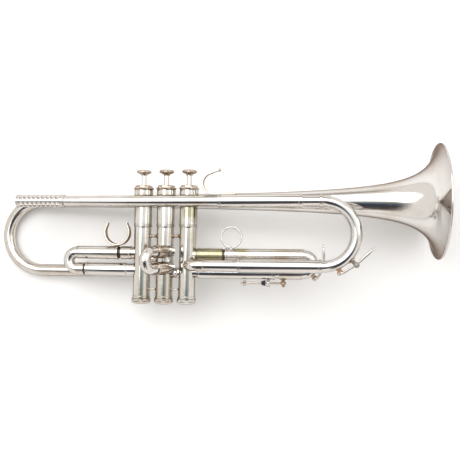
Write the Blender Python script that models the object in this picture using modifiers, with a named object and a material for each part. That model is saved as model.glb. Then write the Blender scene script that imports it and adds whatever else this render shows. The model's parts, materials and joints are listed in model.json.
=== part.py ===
"""Three-valve piston trumpet, lying on its left side as it is put down on a table.

The instrument is modelled in its own playing frame and then laid down:
  +X  along the leadpipe, from the mouthpiece to the bell
  +Y  to the player's left
  +Z  up, towards the finger buttons
with its origin on the second valve's axis at the height of the leadpipe. The frame
empty turns it on to its left side, tilted so that the bell's rim and the bell bow
both touch the table, and centres the whole on the world origin.

Sizes are in millimetres, turned to metres by MM.
"""
import math

import bmesh
import bpy
from mathutils import Matrix, Vector

MM = 0.001

# ---- Driving dimensions --------------------------------------------------------------

TUBE_RADIUS = 5.9            # every inner slide leg and crook, outside
TUBE_WALL = 0.7
SLEEVE_BORE = 6.25           # outer slide legs, inside
SLEEVE_RADIUS = 6.85         # and outside
RING_RADIUS = 7.4            # bead at the mouth of an outer leg
ELBOW = 6.7                  # centreline radius where a leg turns into its valve
LEAD = 1.0                   # straight run that squares off the end of a bend
GAP = 0.3                    # between pieces that touch

PIPE_Y = -17.0               # plane of leadpipe and main tuning slide
BELL_Y = 18.3                # plane of bell and bell bow
BELL_Z = 1.0
BELL_RIM_X = 289.0
BELL_RIM_RADIUS = 61.1
BELL_FLARE_LENGTH = 10.0     # small: the flare turns out sharply
BELL_FLARE_POWER = 0.62
BELL_WALL = 0.9
BOW_X = -145.0               # centre of the bell bow
BOW_RADIUS = 38.6
BOW_TUBE_RADIUS = 6.35

VALVE_PITCH = 24.8
VALVE_CANT = math.radians(1.2)   # the valves lean a little towards the bell
VALVE_CANT_HEIGHT = -38.0
VALVE_STROKE = 11.7
CASING_RADIUS = 8.9
CASING_BORE = 8.05
PORT_FACE = CASING_RADIUS + 0.5  # where a tube that meets a casing's side ends
PISTON_RADIUS = 7.7
CASING_TOP = 12.4
CASING_BOTTOM = -103.4
PISTON_TOP = -33.0
PISTON_BOTTOM = -88.0
STEM_RADIUS = 2.7
CAP_TOP = 18.0
BUTTON_BOTTOM = CAP_TOP + VALVE_STROKE + GAP

FIRST_UPPER_Z = -55.0
FIRST_LOWER_Z = -73.0
FIRST_CROOK_X = -98.0
THIRD_UPPER_Z = -56.6
THIRD_LOWER_Z = -74.8
THIRD_CROOK_X = 148.0
TUNING_LOWER_Z = -66.9
TUNING_CROOK_X = 167.0
SECOND_UPPER_Z = -53.1
SECOND_LOWER_Z = -70.5
SECOND_ANGLE = math.radians(32.0)    # from square to the valves, back to the player
SECOND_START = Vector((4.6, -8.9, 0.0))
SECOND_LEG = 24.0

STOP_ROD_Z = -85.8
STOP_GUIDE_X = 110.9
STOP_POST_X = 126.7

COARSE, MEDIUM, FINE, BELL_SIDES = 10, 12, 16, 24    # sides of a round piece

# ---- Finishes ------------------------------------------------------------------------

SILVER = ((0.78, 0.76, 0.71), 0.16, 1.0)
TARNISHED = ((0.47, 0.43, 0.30), 0.30, 1.0)
STEEL = ((0.62, 0.62, 0.60), 0.30, 1.0)
CORK = ((0.60, 0.33, 0.14), 0.85, 0.0)

PARTS = bpy.data.collections.new("trumpet")
CUTTERS = bpy.data.collections.new("cutters")


def clear_scene():
    """Remove every object and put the two empty collections in the scene."""
    for old in list(bpy.data.objects):
        bpy.data.objects.remove(old)
    for collection in (PARTS, CUTTERS):
        bpy.context.scene.collection.children.link(collection)


def empty(name, location, parent=None, rotation=(0.0, 0.0, 0.0)):
    """A guide that a group of pieces hangs from; its place is in its parent's frame."""
    guide = bpy.data.objects.new(name, None)
    guide.location = Vector(location) * MM
    guide.rotation_euler = rotation
    guide.parent = parent
    PARTS.objects.link(guide)
    return guide


def add(name, mesh, group, location=(0, 0, 0), rotation=None, finish=SILVER):
    """Link a mesh as a piece of a group, at a place given in the playing frame."""
    piece = bpy.data.objects.new(name, mesh)
    piece.location = Vector(location) * MM
    if rotation is not None:
        piece.rotation_euler = rotation.to_euler()
    piece.parent = group
    if group.name.endswith("_slide_axis") or group.name.endswith("_key_axis"):
        piece.matrix_parent_inverse = group.matrix_basis.inverted()
    colour, roughness, metallic = finish
    material = bpy.data.materials.new(name)
    material.use_nodes = True
    shader = material.node_tree.nodes["Principled BSDF"]
    shader.inputs["Base Color"].default_value = (*colour, 1.0)
    shader.inputs["Roughness"].default_value = roughness
    shader.inputs["Metallic"].default_value = metallic
    mesh.materials.append(material)
    PARTS.objects.link(piece)
    return piece


def facing(direction):
    """Rotation that turns +Z to a direction."""
    return Vector(direction).to_track_quat("Z", "Y")


# ---- Shape builders ------------------------------------------------------------------

def turned(name, profile, group, location=(0, 0, 0), direction=(0, 0, 1), sides=MEDIUM,
           finish=SILVER):
    """Turn a profile of (radius, height) points about an axis.

    The points run down the outside from top to bottom. A profile that starts and ends
    on the axis is solid, and any other is a closed loop that runs back up its bore.
    """
    points = [(radius * MM, 0.0, height * MM) for radius, height in profile]
    edges = [(i, i + 1) for i in range(len(points) - 1)]
    if profile[0][0] > 0.0:
        edges.append((len(points) - 1, 0))
    mesh = bpy.data.meshes.new(name)
    mesh.from_pydata(points, edges, [])
    piece = add(name, mesh, group, location, facing(direction), finish)
    screw = piece.modifiers.new("turn", "SCREW")
    screw.axis = "Z"
    screw.steps = screw.render_steps = sides
    screw.use_merge_vertices = True
    screw.merge_threshold = 1e-5
    screw.use_smooth_shade = True
    return piece


def pipe(name, steps, bore, group, start, direction, sides=MEDIUM, finish=SILVER):
    """A straight tube: steps are (distance, radius) along it, bore likewise."""
    outside = [(radius, distance) for distance, radius in reversed(steps)]
    inside = [(radius, distance) for distance, radius in bore]
    return turned(name, outside + inside, group, start, direction, sides, finish)


def swept(name, points, radius, wall, group, resolution=3, closed=False, finish=SILVER):
    """A round tube along a path, hollow with a wall, or solid where the wall is zero."""
    curve = bpy.data.curves.new(name, "CURVE")
    curve.dimensions = "3D"
    curve.bevel_depth = radius * MM
    curve.bevel_resolution = resolution
    curve.use_fill_caps = wall == 0.0 and not closed
    spline = curve.splines.new("POLY")
    spline.points.add(len(points) - 1)
    spline.use_cyclic_u = closed
    for place, point in zip(spline.points, points):
        place.co = (*(Vector(point) * MM), 1.0)
    guide = bpy.data.objects.new(name + "_path", curve)
    CUTTERS.objects.link(guide)
    bpy.context.view_layer.update()
    evaluated = guide.evaluated_get(bpy.context.evaluated_depsgraph_get())
    mesh = bpy.data.meshes.new_from_object(evaluated)
    bpy.data.objects.remove(guide)
    weld(mesh)
    mesh.name = name
    mesh.materials.clear()
    mesh.shade_smooth()
    piece = add(name, mesh, group, finish=finish)
    if wall:
        solidify = piece.modifiers.new("wall", "SOLIDIFY")
        solidify.thickness = wall * MM
        solidify.offset = -1.0
    return piece


def weld(mesh):
    """Join the vertices that a curve's caps and ends leave loose."""
    work = bmesh.new()
    work.from_mesh(mesh)
    bmesh.ops.remove_doubles(work, verts=work.verts, dist=1e-6)
    work.to_mesh(mesh)
    work.free()


def strap(name, path, width, thickness, group, y, finish=SILVER):
    """A flat strap along a path of (x, z) points, its width across the instrument."""
    curve = bpy.data.curves.new(name, "CURVE")
    curve.dimensions = "2D"
    curve.fill_mode = "NONE"
    curve.extrude = width / 2 * MM
    spline = curve.splines.new("POLY")
    spline.points.add(len(path) - 1)
    for place, (x, z) in zip(spline.points, path):
        place.co = (x * MM, z * MM, 0.0, 1.0)
    guide = bpy.data.objects.new(name + "_path", curve)
    CUTTERS.objects.link(guide)
    bpy.context.view_layer.update()
    evaluated = guide.evaluated_get(bpy.context.evaluated_depsgraph_get())
    mesh = bpy.data.meshes.new_from_object(evaluated)
    bpy.data.objects.remove(guide)
    weld(mesh)
    mesh.name = name
    mesh.materials.clear()
    upright = Matrix.Rotation(math.pi / 2, 3, "X").to_quaternion()
    piece = add(name, mesh, group, (0, y, 0), upright, finish)
    solidify = piece.modifiers.new("thickness", "SOLIDIFY")
    solidify.thickness = thickness * MM
    solidify.offset = 0.0
    solidify.use_even_offset = True
    return piece


def combine(piece, tool, operation):
    """Join a tool to a piece, or cut it away, and put the tool with the cutters."""
    boolean = piece.modifiers.new(operation.lower(), "BOOLEAN")
    boolean.operation = operation
    boolean.object = tool
    boolean.solver = "EXACT"
    PARTS.objects.unlink(tool)
    CUTTERS.objects.link(tool)
    tool.hide_render = True
    tool.display_type = "WIRE"


def rod(name, radius, start, end, group, sides=COARSE, finish=SILVER):
    """A plain solid rod between two points."""
    start, end = Vector(start), Vector(end)
    length = (end - start).length
    profile = [(0, length), (radius, length), (radius, 0), (0, 0)]
    return turned(name, profile, group, start, end - start, sides, finish)


def arc(centre, radius, start, end, steps):
    """Points (x, z) on an arc between two angles in degrees."""
    points = []
    for step in range(steps + 1):
        angle = math.radians(start + (end - start) * step / steps)
        points.append((centre[0] + radius * math.cos(angle),
                       centre[1] + radius * math.sin(angle)))
    return points


def in_plane(points, y):
    """Turn (x, z) points to (x, y, z) points."""
    return [(x, y, z) for x, z in points]


# ---- Bell and bell bow ---------------------------------------------------------------

def bell_radius(distance):
    """Outside radius of the bell at a distance behind its rim."""
    shrink = BELL_FLARE_LENGTH / (distance + BELL_FLARE_LENGTH)
    return max(BELL_RIM_RADIUS * shrink ** BELL_FLARE_POWER, BOW_TUBE_RADIUS)


def build_bell(root):
    """The flare and its tail in one piece, rolled over at the rim, and the bow."""
    bead, setback = 1.1, 0.2
    length = BELL_RIM_X - bead - setback - BOW_X - GAP
    steps = 12
    distances = [length * (i / steps) ** 2.4 for i in range(steps + 1)]
    outside = [(BELL_RIM_RADIUS - 1.6, bead), (BELL_RIM_RADIUS - 0.2, bead * 0.8),
               (BELL_RIM_RADIUS, 0.0), (BELL_RIM_RADIUS - 0.6, -bead)]
    outside += [(bell_radius(d), -d - setback) for d in distances[2:]]
    inside = [(bell_radius(d) - BELL_WALL, -d - setback) for d in reversed(distances[2:])]
    turned("bell", outside + inside, root, (BELL_RIM_X - bead, BELL_Y, BELL_Z), (1, 0, 0),
           BELL_SIDES)

    bottom = BELL_Z - 2 * BOW_RADIUS
    path = [(BOW_X, BELL_Y, BELL_Z)]
    path += in_plane(arc((BOW_X - LEAD, BELL_Z - BOW_RADIUS), BOW_RADIUS, 90, 270, 10),
                     BELL_Y)
    end_x = -26.2
    elbow = arc((end_x - ELBOW, BELL_Y - ELBOW), ELBOW, 90, 0, 4)
    path += [(x, y, bottom) for x, y in elbow + [(end_x, PORT_FACE)]]
    swept("bell_bow", path, BOW_TUBE_RADIUS, TUBE_WALL, root)


# ---- Leadpipe and main tuning slide --------------------------------------------------

def build_leadpipe(root):
    """Receiver, leadpipe, upper outer leg and the fixed lower leg with its elbow."""
    receiver_x, receiver_length, seat = -158.5, 53.0, 27.0
    pipe("mouthpiece_receiver",
         [(0, 6.4), (1.2, 7.0), (3.0, 6.6), (49.5, 6.6), (50.5, 7.0), (52.2, 7.0),
          (receiver_length, 6.2)],
         [(0, 5.5), (seat, 4.9), (seat, 6.0), (receiver_length, 6.0)],
         root, (receiver_x, PIPE_Y, 0), (1, 0, 0))
    leadpipe_x = receiver_x + seat + GAP
    leadpipe_length = 59.2 - leadpipe_x
    pipe("leadpipe", [(0, 5.6), (leadpipe_length, 5.9)], [(0, 4.6), (leadpipe_length, 5.2)],
         root, (leadpipe_x, PIPE_Y, 0), (1, 0, 0))
    sleeve_x, sleeve_length = 59.5, 86.5
    pipe("tuning_upper_sleeve",
         [(0, RING_RADIUS), (2.2, RING_RADIUS), (2.2, SLEEVE_RADIUS),
          (sleeve_length - 3.0, SLEEVE_RADIUS), (sleeve_length - 3.0, RING_RADIUS),
          (sleeve_length, RING_RADIUS)],
         [(0, SLEEVE_BORE), (sleeve_length, SLEEVE_BORE)],
         root, (sleeve_x, PIPE_Y, 0), (1, 0, 0))
    end_x = 28.1
    elbow = [(end_x, -PORT_FACE, TUNING_LOWER_Z)]
    elbow += [(x, y, TUNING_LOWER_Z)
              for x, y in arc((end_x + ELBOW, PIPE_Y + ELBOW), ELBOW, 180, 270, 4)]
    swept("tuning_lower_tube", elbow + [(148.0, PIPE_Y, TUNING_LOWER_Z)], TUBE_RADIUS,
          TUBE_WALL, root)


def build_tuning_slide(slide):
    """The moving crook: its upper leg slides in, and its lower leg slides over."""
    radius = -TUNING_LOWER_Z / 2
    path = [(85.0, 0.0)] + arc((TUNING_CROOK_X, -radius), radius, 90, -90, 11)
    path.append((TUNING_CROOK_X - LEAD, TUNING_LOWER_Z))
    crook = swept("tuning_crook", in_plane(path, PIPE_Y), TUBE_RADIUS, TUBE_WALL, slide)
    ferrule = pipe("tuning_ferrule", [(0, 6.8), (3.0, 6.8)], [(0, 5.5), (3.0, 5.5)],
                   slide, (163.6, PIPE_Y, 0), (1, 0, 0))
    combine(crook, ferrule, "UNION")
    start, end = 79.8, TUNING_CROOK_X - LEAD - GAP
    length = end - start
    pipe("tuning_lower_sleeve",
         [(0, RING_RADIUS), (2.4, RING_RADIUS), (2.4, SLEEVE_RADIUS),
          (length - 3.0, SLEEVE_RADIUS), (length - 3.0, 7.2), (length, 7.2)],
         [(0, SLEEVE_BORE), (length, SLEEVE_BORE)],
         slide, (start, PIPE_Y, TUNING_LOWER_Z), (1, 0, 0))


# ---- Water keys ----------------------------------------------------------------------

def build_water_key(prefix, root, slide, y, centre, surface, cork_angle, pivot_angle,
                    tip):
    """A lever key on the outside of a crook: saddle, pin, lever with its cup, and cork.

    centre is the bend's centre (x, z), surface the radius of the tube's outer side from
    it, and the two angles in degrees place the cork and the pivot round the bend.
    """
    def around(angle, radius):
        return arc(centre, radius, angle, angle, 1)[0]

    def outward(angle):
        return Vector((math.cos(math.radians(angle)), 0, math.sin(math.radians(angle))))

    pivot_rise, barrel_half, strap_half = 6.4, 2.6, 2.0
    pivot_x, pivot_z = around(pivot_angle, surface + pivot_rise)
    key = empty(prefix + "_key_axis", (pivot_x, y, pivot_z), root)

    radial = outward(pivot_angle)
    foot, top = surface + GAP + 0.5, surface + pivot_rise + 2.2
    lug = barrel_half + 0.9
    side = Vector((0, 1, 0))
    origin = Vector((centre[0], y, centre[1]))
    corners = [origin + radial * top - side * lug, origin + radial * foot - side * lug,
               origin + radial * foot + side * lug, origin + radial * top + side * lug]
    saddle = bracket(prefix + "_key_saddle", corners, radial, 4.0, 1.0, slide)
    bore_half = lug + 3.0
    hinge_bore = rod(prefix + "_saddle_bore", 1.15, (pivot_x, y - bore_half, pivot_z),
                     (pivot_x, y + bore_half, pivot_z), slide)
    combine(saddle, hinge_bore, "DIFFERENCE")
    pin_half = lug + 1.1
    rod(prefix + "_key_pin", 0.8, (pivot_x, y - pin_half, pivot_z),
        (pivot_x, y + pin_half, pivot_z), slide, finish=STEEL)

    cork_length, cup_depth = 3.4, 2.2
    seat = surface + GAP
    cork_axis = outward(cork_angle)
    cork_base = origin + cork_axis * seat
    turned(prefix + "_key_cork", [(0, cork_length), (2.9, cork_length), (2.9, 0), (0, 0)],
           key, cork_base, cork_axis, COARSE, CORK)
    cup_x, cup_z = around(cork_angle, seat + cork_length + GAP + cup_depth - 0.7)
    lever = strap(prefix + "_key_lever",
                  [(cup_x, cup_z), (pivot_x, pivot_z),
                   ((pivot_x + tip[0]) / 2 + 0.6, (pivot_z + tip[1]) / 2 - 0.6), tip],
                  2 * strap_half, 1.5, key, y)
    cup = turned(prefix + "_cup",
                 [(0, cup_depth), (2.6, cup_depth), (3.3, cup_depth - 0.7), (3.3, 0), (0, 0)],
                 key, cork_base + cork_axis * (cork_length + GAP), cork_axis, COARSE)
    barrel = rod(prefix + "_barrel", 2.2, (pivot_x, y - barrel_half, pivot_z),
                 (pivot_x, y + barrel_half, pivot_z), key)
    pin_hole = rod(prefix + "_pin_hole", 1.15, (pivot_x, y - bore_half, pivot_z),
                   (pivot_x, y + bore_half, pivot_z), key)
    combine(lever, cup, "UNION")
    combine(lever, barrel, "UNION")
    combine(lever, pin_hole, "DIFFERENCE")


def bracket(name, corners, radial, width, thickness, group):
    """A strap folded into a U: a foot and two lugs, its width along the tube."""
    across = radial.cross(Vector((0, 1, 0))).normalized() * width / 2
    work = bmesh.new()
    rows = []
    for corner in corners:
        rows.append([work.verts.new((corner + shift) * MM) for shift in (-across, across)])
    for low, high in zip(rows, rows[1:]):
        work.faces.new((low[0], low[1], high[1], high[0]))
    mesh = bpy.data.meshes.new(name)
    work.to_mesh(mesh)
    work.free()
    piece = add(name, mesh, group)
    solidify = piece.modifiers.new("thickness", "SOLIDIFY")
    solidify.thickness = thickness * MM
    solidify.offset = 0.0
    solidify.use_even_offset = True
    return piece


# ---- Valves --------------------------------------------------------------------------

def build_valve(number, root):
    """One valve: casing and caps that stay, and the piston, stem, button and spring."""
    name = f"valve_{number}"
    lean = math.sin(VALVE_CANT)
    x = (number - 2) * VALVE_PITCH - VALVE_CANT_HEIGHT * lean
    axis = empty(name + "_axis", (x, 0, 0), root, (0, VALVE_CANT, 0))

    casing = turned(
        name + "_casing",
        [(9.9, CASING_TOP), (9.9, 7.0), (9.35, 6.2), (9.35, -24.6), (10.0, -24.8),
         (10.0, -26.4), (CASING_RADIUS, -26.6), (CASING_RADIUS, CASING_BOTTOM),
         (CASING_BORE, CASING_BOTTOM),
         (CASING_BORE, -31.4), (3.6, -31.4), (3.6, -29.4), (CASING_BORE, -29.4),
         (CASING_BORE, CASING_TOP)],
        axis, sides=FINE)
    cap_base = CASING_TOP + GAP
    turned(name + "_top_cap",
           [(8.4, CAP_TOP), (9.3, CAP_TOP - 0.9), (9.4, 14.5), (10.9, 14.3),
            (10.9, cap_base), (3.4, cap_base), (3.4, CAP_TOP)],
           axis, sides=FINE)
    foot = CASING_BOTTOM - GAP
    turned(name + "_bottom_cap",
           [(10.2, foot), (10.2, foot - 3.6), (8.9, foot - 5.2), (4.6, foot - 6.1),
            (1.4, foot - 6.1), (1.4, foot)],
           axis, sides=FINE)

    piston = turned(name + "_piston",
                    [(0, PISTON_TOP), (6.9, PISTON_TOP), (PISTON_RADIUS, PISTON_TOP - 0.8),
                     (PISTON_RADIUS, PISTON_BOTTOM), (6.6, PISTON_BOTTOM),
                     (6.6, PISTON_BOTTOM + 4.0), (0, PISTON_BOTTOM + 4.0)],
                    axis, sides=FINE, finish=STEEL)
    for passage, height in enumerate((-44.0, -60.0, -75.0)):
        reach = PISTON_RADIUS + 4.0
        bore = rod(f"{name}_passage_{passage + 1}", 4.8, (-reach, 0, height),
                   (reach, 0, height), axis)
        combine(piston, bore, "DIFFERENCE")

    stem_base = PISTON_TOP + GAP
    turned(name + "_stem",
           [(0, BUTTON_BOTTOM - GAP), (STEM_RADIUS, BUTTON_BOTTOM - GAP),
            (STEM_RADIUS, 12.2), (6.4, 12.2), (6.4, 10.2), (STEM_RADIUS, 10.2),
            (STEM_RADIUS, stem_base), (0, stem_base)],
           axis, sides=MEDIUM)
    turned(name + "_button",
           [(0, 34.2), (6.2, 34.2), (6.2, 35.2), (6.9, 35.3), (8.15, 33.6), (8.15, 32.2),
            (6.5, BUTTON_BOTTOM), (0, BUTTON_BOTTOM)],
           axis, sides=FINE)

    turns, coil_radius, wire, per_turn = 5, 5.4, 0.45, 7
    low, high = -29.4 + GAP + wire, 10.2 - GAP - wire
    helix = []
    for step in range(turns * per_turn + 1):
        angle = 2 * math.pi * step / per_turn
        helix.append((coil_radius * math.cos(angle), coil_radius * math.sin(angle),
                      low + (high - low) * step / (turns * per_turn)))
    swept(name + "_spring", helix, wire, 0.0, axis, resolution=0, finish=STEEL)
    return casing


def build_valves(root):
    """The three valves, the ports in their casings, and the links between them."""
    casings = [build_valve(number, root) for number in (1, 2, 3)]
    port_radius, reach = 5.2, 16.0
    back, front = Vector((-reach, 0, 0)), Vector((reach, 0, 0))
    left, right = Vector((0, reach, 0)), Vector((0, -reach, 0))
    second = Vector((-math.sin(SECOND_ANGLE), -math.cos(SECOND_ANGLE), 0)) * reach
    link_12, link_23 = -62.0, -76.0
    ports = ((0, FIRST_UPPER_Z, back), (0, FIRST_LOWER_Z, back),
             (0, BELL_Z - 2 * BOW_RADIUS, left), (0, link_12, front),
             (1, link_12, back), (1, SECOND_UPPER_Z, second), (1, SECOND_LOWER_Z, second),
             (1, link_23, front), (2, link_23, back), (2, THIRD_UPPER_Z, front),
             (2, THIRD_LOWER_Z, front), (2, TUNING_LOWER_Z, right))
    for index, (valve, height, way) in enumerate(ports):
        lean = math.sin(VALVE_CANT) * (height - VALVE_CANT_HEIGHT)
        centre = Vector(((valve - 1) * VALVE_PITCH + lean, 0, height))
        port = rod(f"port_{index + 1}", port_radius, centre, centre + way, root)
        combine(casings[valve], port, "DIFFERENCE")

    for name, valve, height in (("casing_link_12", -0.5, link_12),
                                ("casing_link_23", 0.5, link_23)):
        half = VALVE_PITCH / 2 - CASING_RADIUS - GAP
        lean = math.sin(VALVE_CANT) * (height - VALVE_CANT_HEIGHT)
        middle = valve * VALVE_PITCH + lean
        pipe(name, [(0, 5.6), (2 * half, 5.6)], [(0, 4.8), (2 * half, 4.8)], root,
             (middle - half, 0, height), (1, 0, 0))
    stay_height = -37.0
    for name, valve in (("casing_stay_12", -0.5), ("casing_stay_23", 0.5)):
        half = VALVE_PITCH / 2 - CASING_RADIUS - GAP
        turned(name, [(0, half), (2.6, half), (2.2, half - 0.7), (1.1, half - 1.5),
                      (1.1, 1.5 - half), (2.2, 0.7 - half), (2.6, -half), (0, -half)],
               root, (valve * VALVE_PITCH, 0, stay_height), (1, 0, 0), COARSE)


# ---- First slide ---------------------------------------------------------------------

def build_first_slide(root, slide):
    """Fixed legs behind the first valve, and the moving crook with its thumb saddle."""
    wall_x = -35.1
    pipe("first_upper_tube",
         [(0, SLEEVE_RADIUS), (13.2, SLEEVE_RADIUS), (13.2, TUBE_RADIUS),
          (50.0, TUBE_RADIUS)],
         [(0, 5.2), (50.0, 5.2)], root, (wall_x, 0, FIRST_UPPER_Z), (-1, 0, 0))
    pipe("first_lower_sleeve",
         [(0, 6.2), (7.2, 6.2), (7.2, SLEEVE_RADIUS), (49.8, SLEEVE_RADIUS),
          (49.8, RING_RADIUS), (52.2, RING_RADIUS)],
         [(0, 5.2), (9.0, 5.2), (9.0, SLEEVE_BORE), (52.2, SLEEVE_BORE)],
         root, (wall_x, 0, FIRST_LOWER_Z), (-1, 0, 0))

    sleeve_start, sleeve_end = -51.2, -96.3
    length = sleeve_start - sleeve_end
    pipe("first_upper_sleeve",
         [(0, RING_RADIUS), (2.2, RING_RADIUS), (2.2, SLEEVE_RADIUS),
          (length, SLEEVE_RADIUS)],
         [(0, SLEEVE_BORE), (length, SLEEVE_BORE)],
         slide, (sleeve_start, 0, FIRST_UPPER_Z), (-1, 0, 0))
    radius = (FIRST_UPPER_Z - FIRST_LOWER_Z) / 2
    middle = (FIRST_UPPER_Z + FIRST_LOWER_Z) / 2
    path = [(sleeve_end - GAP, FIRST_UPPER_Z)]
    path += arc((FIRST_CROOK_X, middle), radius, 90, 270, 8) + [(-52.0, FIRST_LOWER_Z)]
    crook = swept("first_crook", in_plane(path, 0), TUBE_RADIUS, TUBE_WALL, slide)
    ferrule = pipe("first_ferrule", [(0, SLEEVE_RADIUS), (8.0, SLEEVE_RADIUS)],
                   [(0, 5.5), (8.0, 5.5)], slide, (-97.6, 0, FIRST_LOWER_Z), (1, 0, 0))
    combine(crook, ferrule, "UNION")
    saddle_radius, thickness = 13.3, 1.5
    saddle_z = FIRST_UPPER_Z + RING_RADIUS + GAP + thickness / 2 + saddle_radius
    path = arc((-52.6, saddle_z), saddle_radius, 134, 406, 16)
    strap("first_thumb_saddle", path, 9.0, thickness, slide, 0)


# ---- Second slide --------------------------------------------------------------------

def build_second_slide(root, slide):
    """Short slide that points out to the right and back, between first and third."""
    way = Vector((-math.sin(SECOND_ANGLE), -math.cos(SECOND_ANGLE), 0))
    sleeve_length = 15.0
    for name, z in (("second_upper_sleeve", SECOND_UPPER_Z),
                    ("second_lower_sleeve", SECOND_LOWER_Z)):
        pipe(name,
             [(0, 6.4), (1.6, SLEEVE_RADIUS), (sleeve_length - 2.0, SLEEVE_RADIUS),
              (sleeve_length - 2.0, RING_RADIUS), (sleeve_length, RING_RADIUS)],
             [(0, SLEEVE_BORE - 1.0), (2.0, SLEEVE_BORE - 1.0), (2.0, SLEEVE_BORE),
              (sleeve_length, SLEEVE_BORE)],
             root, SECOND_START + way * 3.1 + Vector((0, 0, z)), way)
    radius = (SECOND_UPPER_Z - SECOND_LOWER_Z) / 2
    middle = (SECOND_UPPER_Z + SECOND_LOWER_Z) / 2
    path = [(6.0, SECOND_UPPER_Z)] + arc((SECOND_LEG, middle), radius, 90, -90, 8)
    path.append((6.0, SECOND_LOWER_Z))
    swept("second_crook", [SECOND_START + way * run + Vector((0, 0, z)) for run, z in path],
          TUBE_RADIUS, TUBE_WALL, slide)


# ---- Third slide ---------------------------------------------------------------------

def build_third_slide(root, slide):
    """Fixed legs in front of the third valve, the moving crook, ring and stop rod."""
    wall_x = 34.6
    collar = 62.6 - wall_x
    pipe("third_upper_tube",
         [(0, SLEEVE_RADIUS), (collar, SLEEVE_RADIUS), (collar, TUBE_RADIUS),
          (94.0, TUBE_RADIUS)],
         [(0, 5.2), (94.0, 5.2)], root, (wall_x, 0, THIRD_UPPER_Z), (1, 0, 0),
         finish=TARNISHED)
    length = 118.0 - wall_x
    pipe("third_lower_sleeve",
         [(0, SLEEVE_RADIUS), (length - 2.4, SLEEVE_RADIUS), (length - 2.4, RING_RADIUS),
          (length, RING_RADIUS)],
         [(0, SLEEVE_BORE), (length, SLEEVE_BORE)],
         root, (wall_x, 0, THIRD_LOWER_Z), (1, 0, 0))
    guide_top = THIRD_LOWER_Z - SLEEVE_RADIUS - GAP
    guide = turned("stop_rod_guide",
                   [(0, guide_top), (3.4, guide_top), (3.0, guide_top - 0.8), (1.5, -83.4),
                    (2.9, -84.6), (3.2, STOP_ROD_Z), (2.9, -87.0), (1.4, -88.2),
                    (1.8, -89.4), (0, -90.0)],
                   root, (STOP_GUIDE_X, 0, 0), sides=COARSE)
    hole = rod("guide_hole", 1.5, (STOP_GUIDE_X - 6, 0, STOP_ROD_Z),
               (STOP_GUIDE_X + 6, 0, STOP_ROD_Z), root)
    combine(guide, hole, "DIFFERENCE")

    start, end = 65.2, 144.8
    length = end - start
    pipe("third_upper_sleeve",
         [(0, RING_RADIUS), (2.2, RING_RADIUS), (2.2, SLEEVE_RADIUS),
          (length, SLEEVE_RADIUS)],
         [(0, SLEEVE_BORE), (length, SLEEVE_BORE)],
         slide, (start, 0, THIRD_UPPER_Z), (1, 0, 0))
    radius = (THIRD_UPPER_Z - THIRD_LOWER_Z) / 2
    middle = (THIRD_UPPER_Z + THIRD_LOWER_Z) / 2
    path = [(end + GAP, THIRD_UPPER_Z)]
    path += arc((THIRD_CROOK_X, middle), radius, 90, -90, 8) + [(62.0, THIRD_LOWER_Z)]
    crook = swept("third_crook", in_plane(path, 0), TUBE_RADIUS, TUBE_WALL, slide)
    ferrule = pipe("third_ferrule", [(0, SLEEVE_RADIUS), (24.8, SLEEVE_RADIUS)],
                   [(0, 5.5), (24.8, 5.5)], slide, (121.8, 0, THIRD_LOWER_Z), (1, 0, 0))
    combine(crook, ferrule, "UNION")

    ring_wire, ring_radius = 1.0, 10.8
    ring_z = THIRD_UPPER_Z + SLEEVE_RADIUS + GAP + ring_wire + ring_radius
    ring = arc((71.5, ring_z), ring_radius, 0, 342, 19)
    swept("third_finger_ring", in_plane(ring, 0), ring_wire, 0.0, slide, 1, closed=True)

    nut, shaft = 3.1, 1.05
    left, right = 81.8, STOP_POST_X
    run = [(0, right), (shaft, right), (shaft, 87.4), (nut, 87.2), (nut, 85.9), (1.5, 85.8),
           (1.5, 85.5), (nut, 85.4), (nut, 84.1), (shaft, 83.9), (shaft, left), (0, left)]
    stop_rod = turned("third_stop_rod", run, slide, (0, 0, STOP_ROD_Z), (1, 0, 0), COARSE)
    post = turned("stop_post",
                  [(0, guide_top), (3.4, guide_top), (3.0, guide_top - 0.8), (1.5, -83.4),
                   (2.9, -84.6), (3.2, STOP_ROD_Z), (2.9, -87.0), (1.4, -88.2),
                   (1.8, -89.4), (0, -90.0)],
                  slide, (STOP_POST_X, 0, 0), sides=COARSE)
    combine(stop_rod, post, "UNION")


# ---- Hook and braces -----------------------------------------------------------------

def build_hook_and_braces(root):
    """Little-finger hook on the leadpipe, and the braces from leadpipe to bell."""
    base_z = RING_RADIUS + GAP + 0.5
    bend, centre_x = 10.5, 54.6
    centre = (centre_x, base_z + bend)
    path = [(77.8, base_z), (66.0, base_z)] + arc(centre, bend, 270, 109, 10)
    tip_angle, tip_run = math.radians(19), 11.5
    path.append((path[-1][0] + tip_run * math.cos(tip_angle),
                 path[-1][1] + tip_run * math.sin(tip_angle)))
    strap("finger_hook", path, 7.0, 1.2, root, PIPE_Y)

    for name, x, pipe_side in (("bell_brace_front", 70.0, SLEEVE_RADIUS),
                               ("bell_brace_rear", -78.0, 5.9)):
        start = PIPE_Y + pipe_side + GAP
        end = BELL_Y - bell_radius(BELL_RIM_X - x) - GAP
        length = end - start
        turned(name, [(0, length), (5.0, length), (4.2, length - 0.9), (1.8, length - 2.6),
                      (1.8, 2.6), (4.2, 0.9), (5.0, 0), (0, 0)],
               root, (x, start, 0.5), (0, 1, 0), COARSE)


# ---- Laying it down ------------------------------------------------------------------

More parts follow.
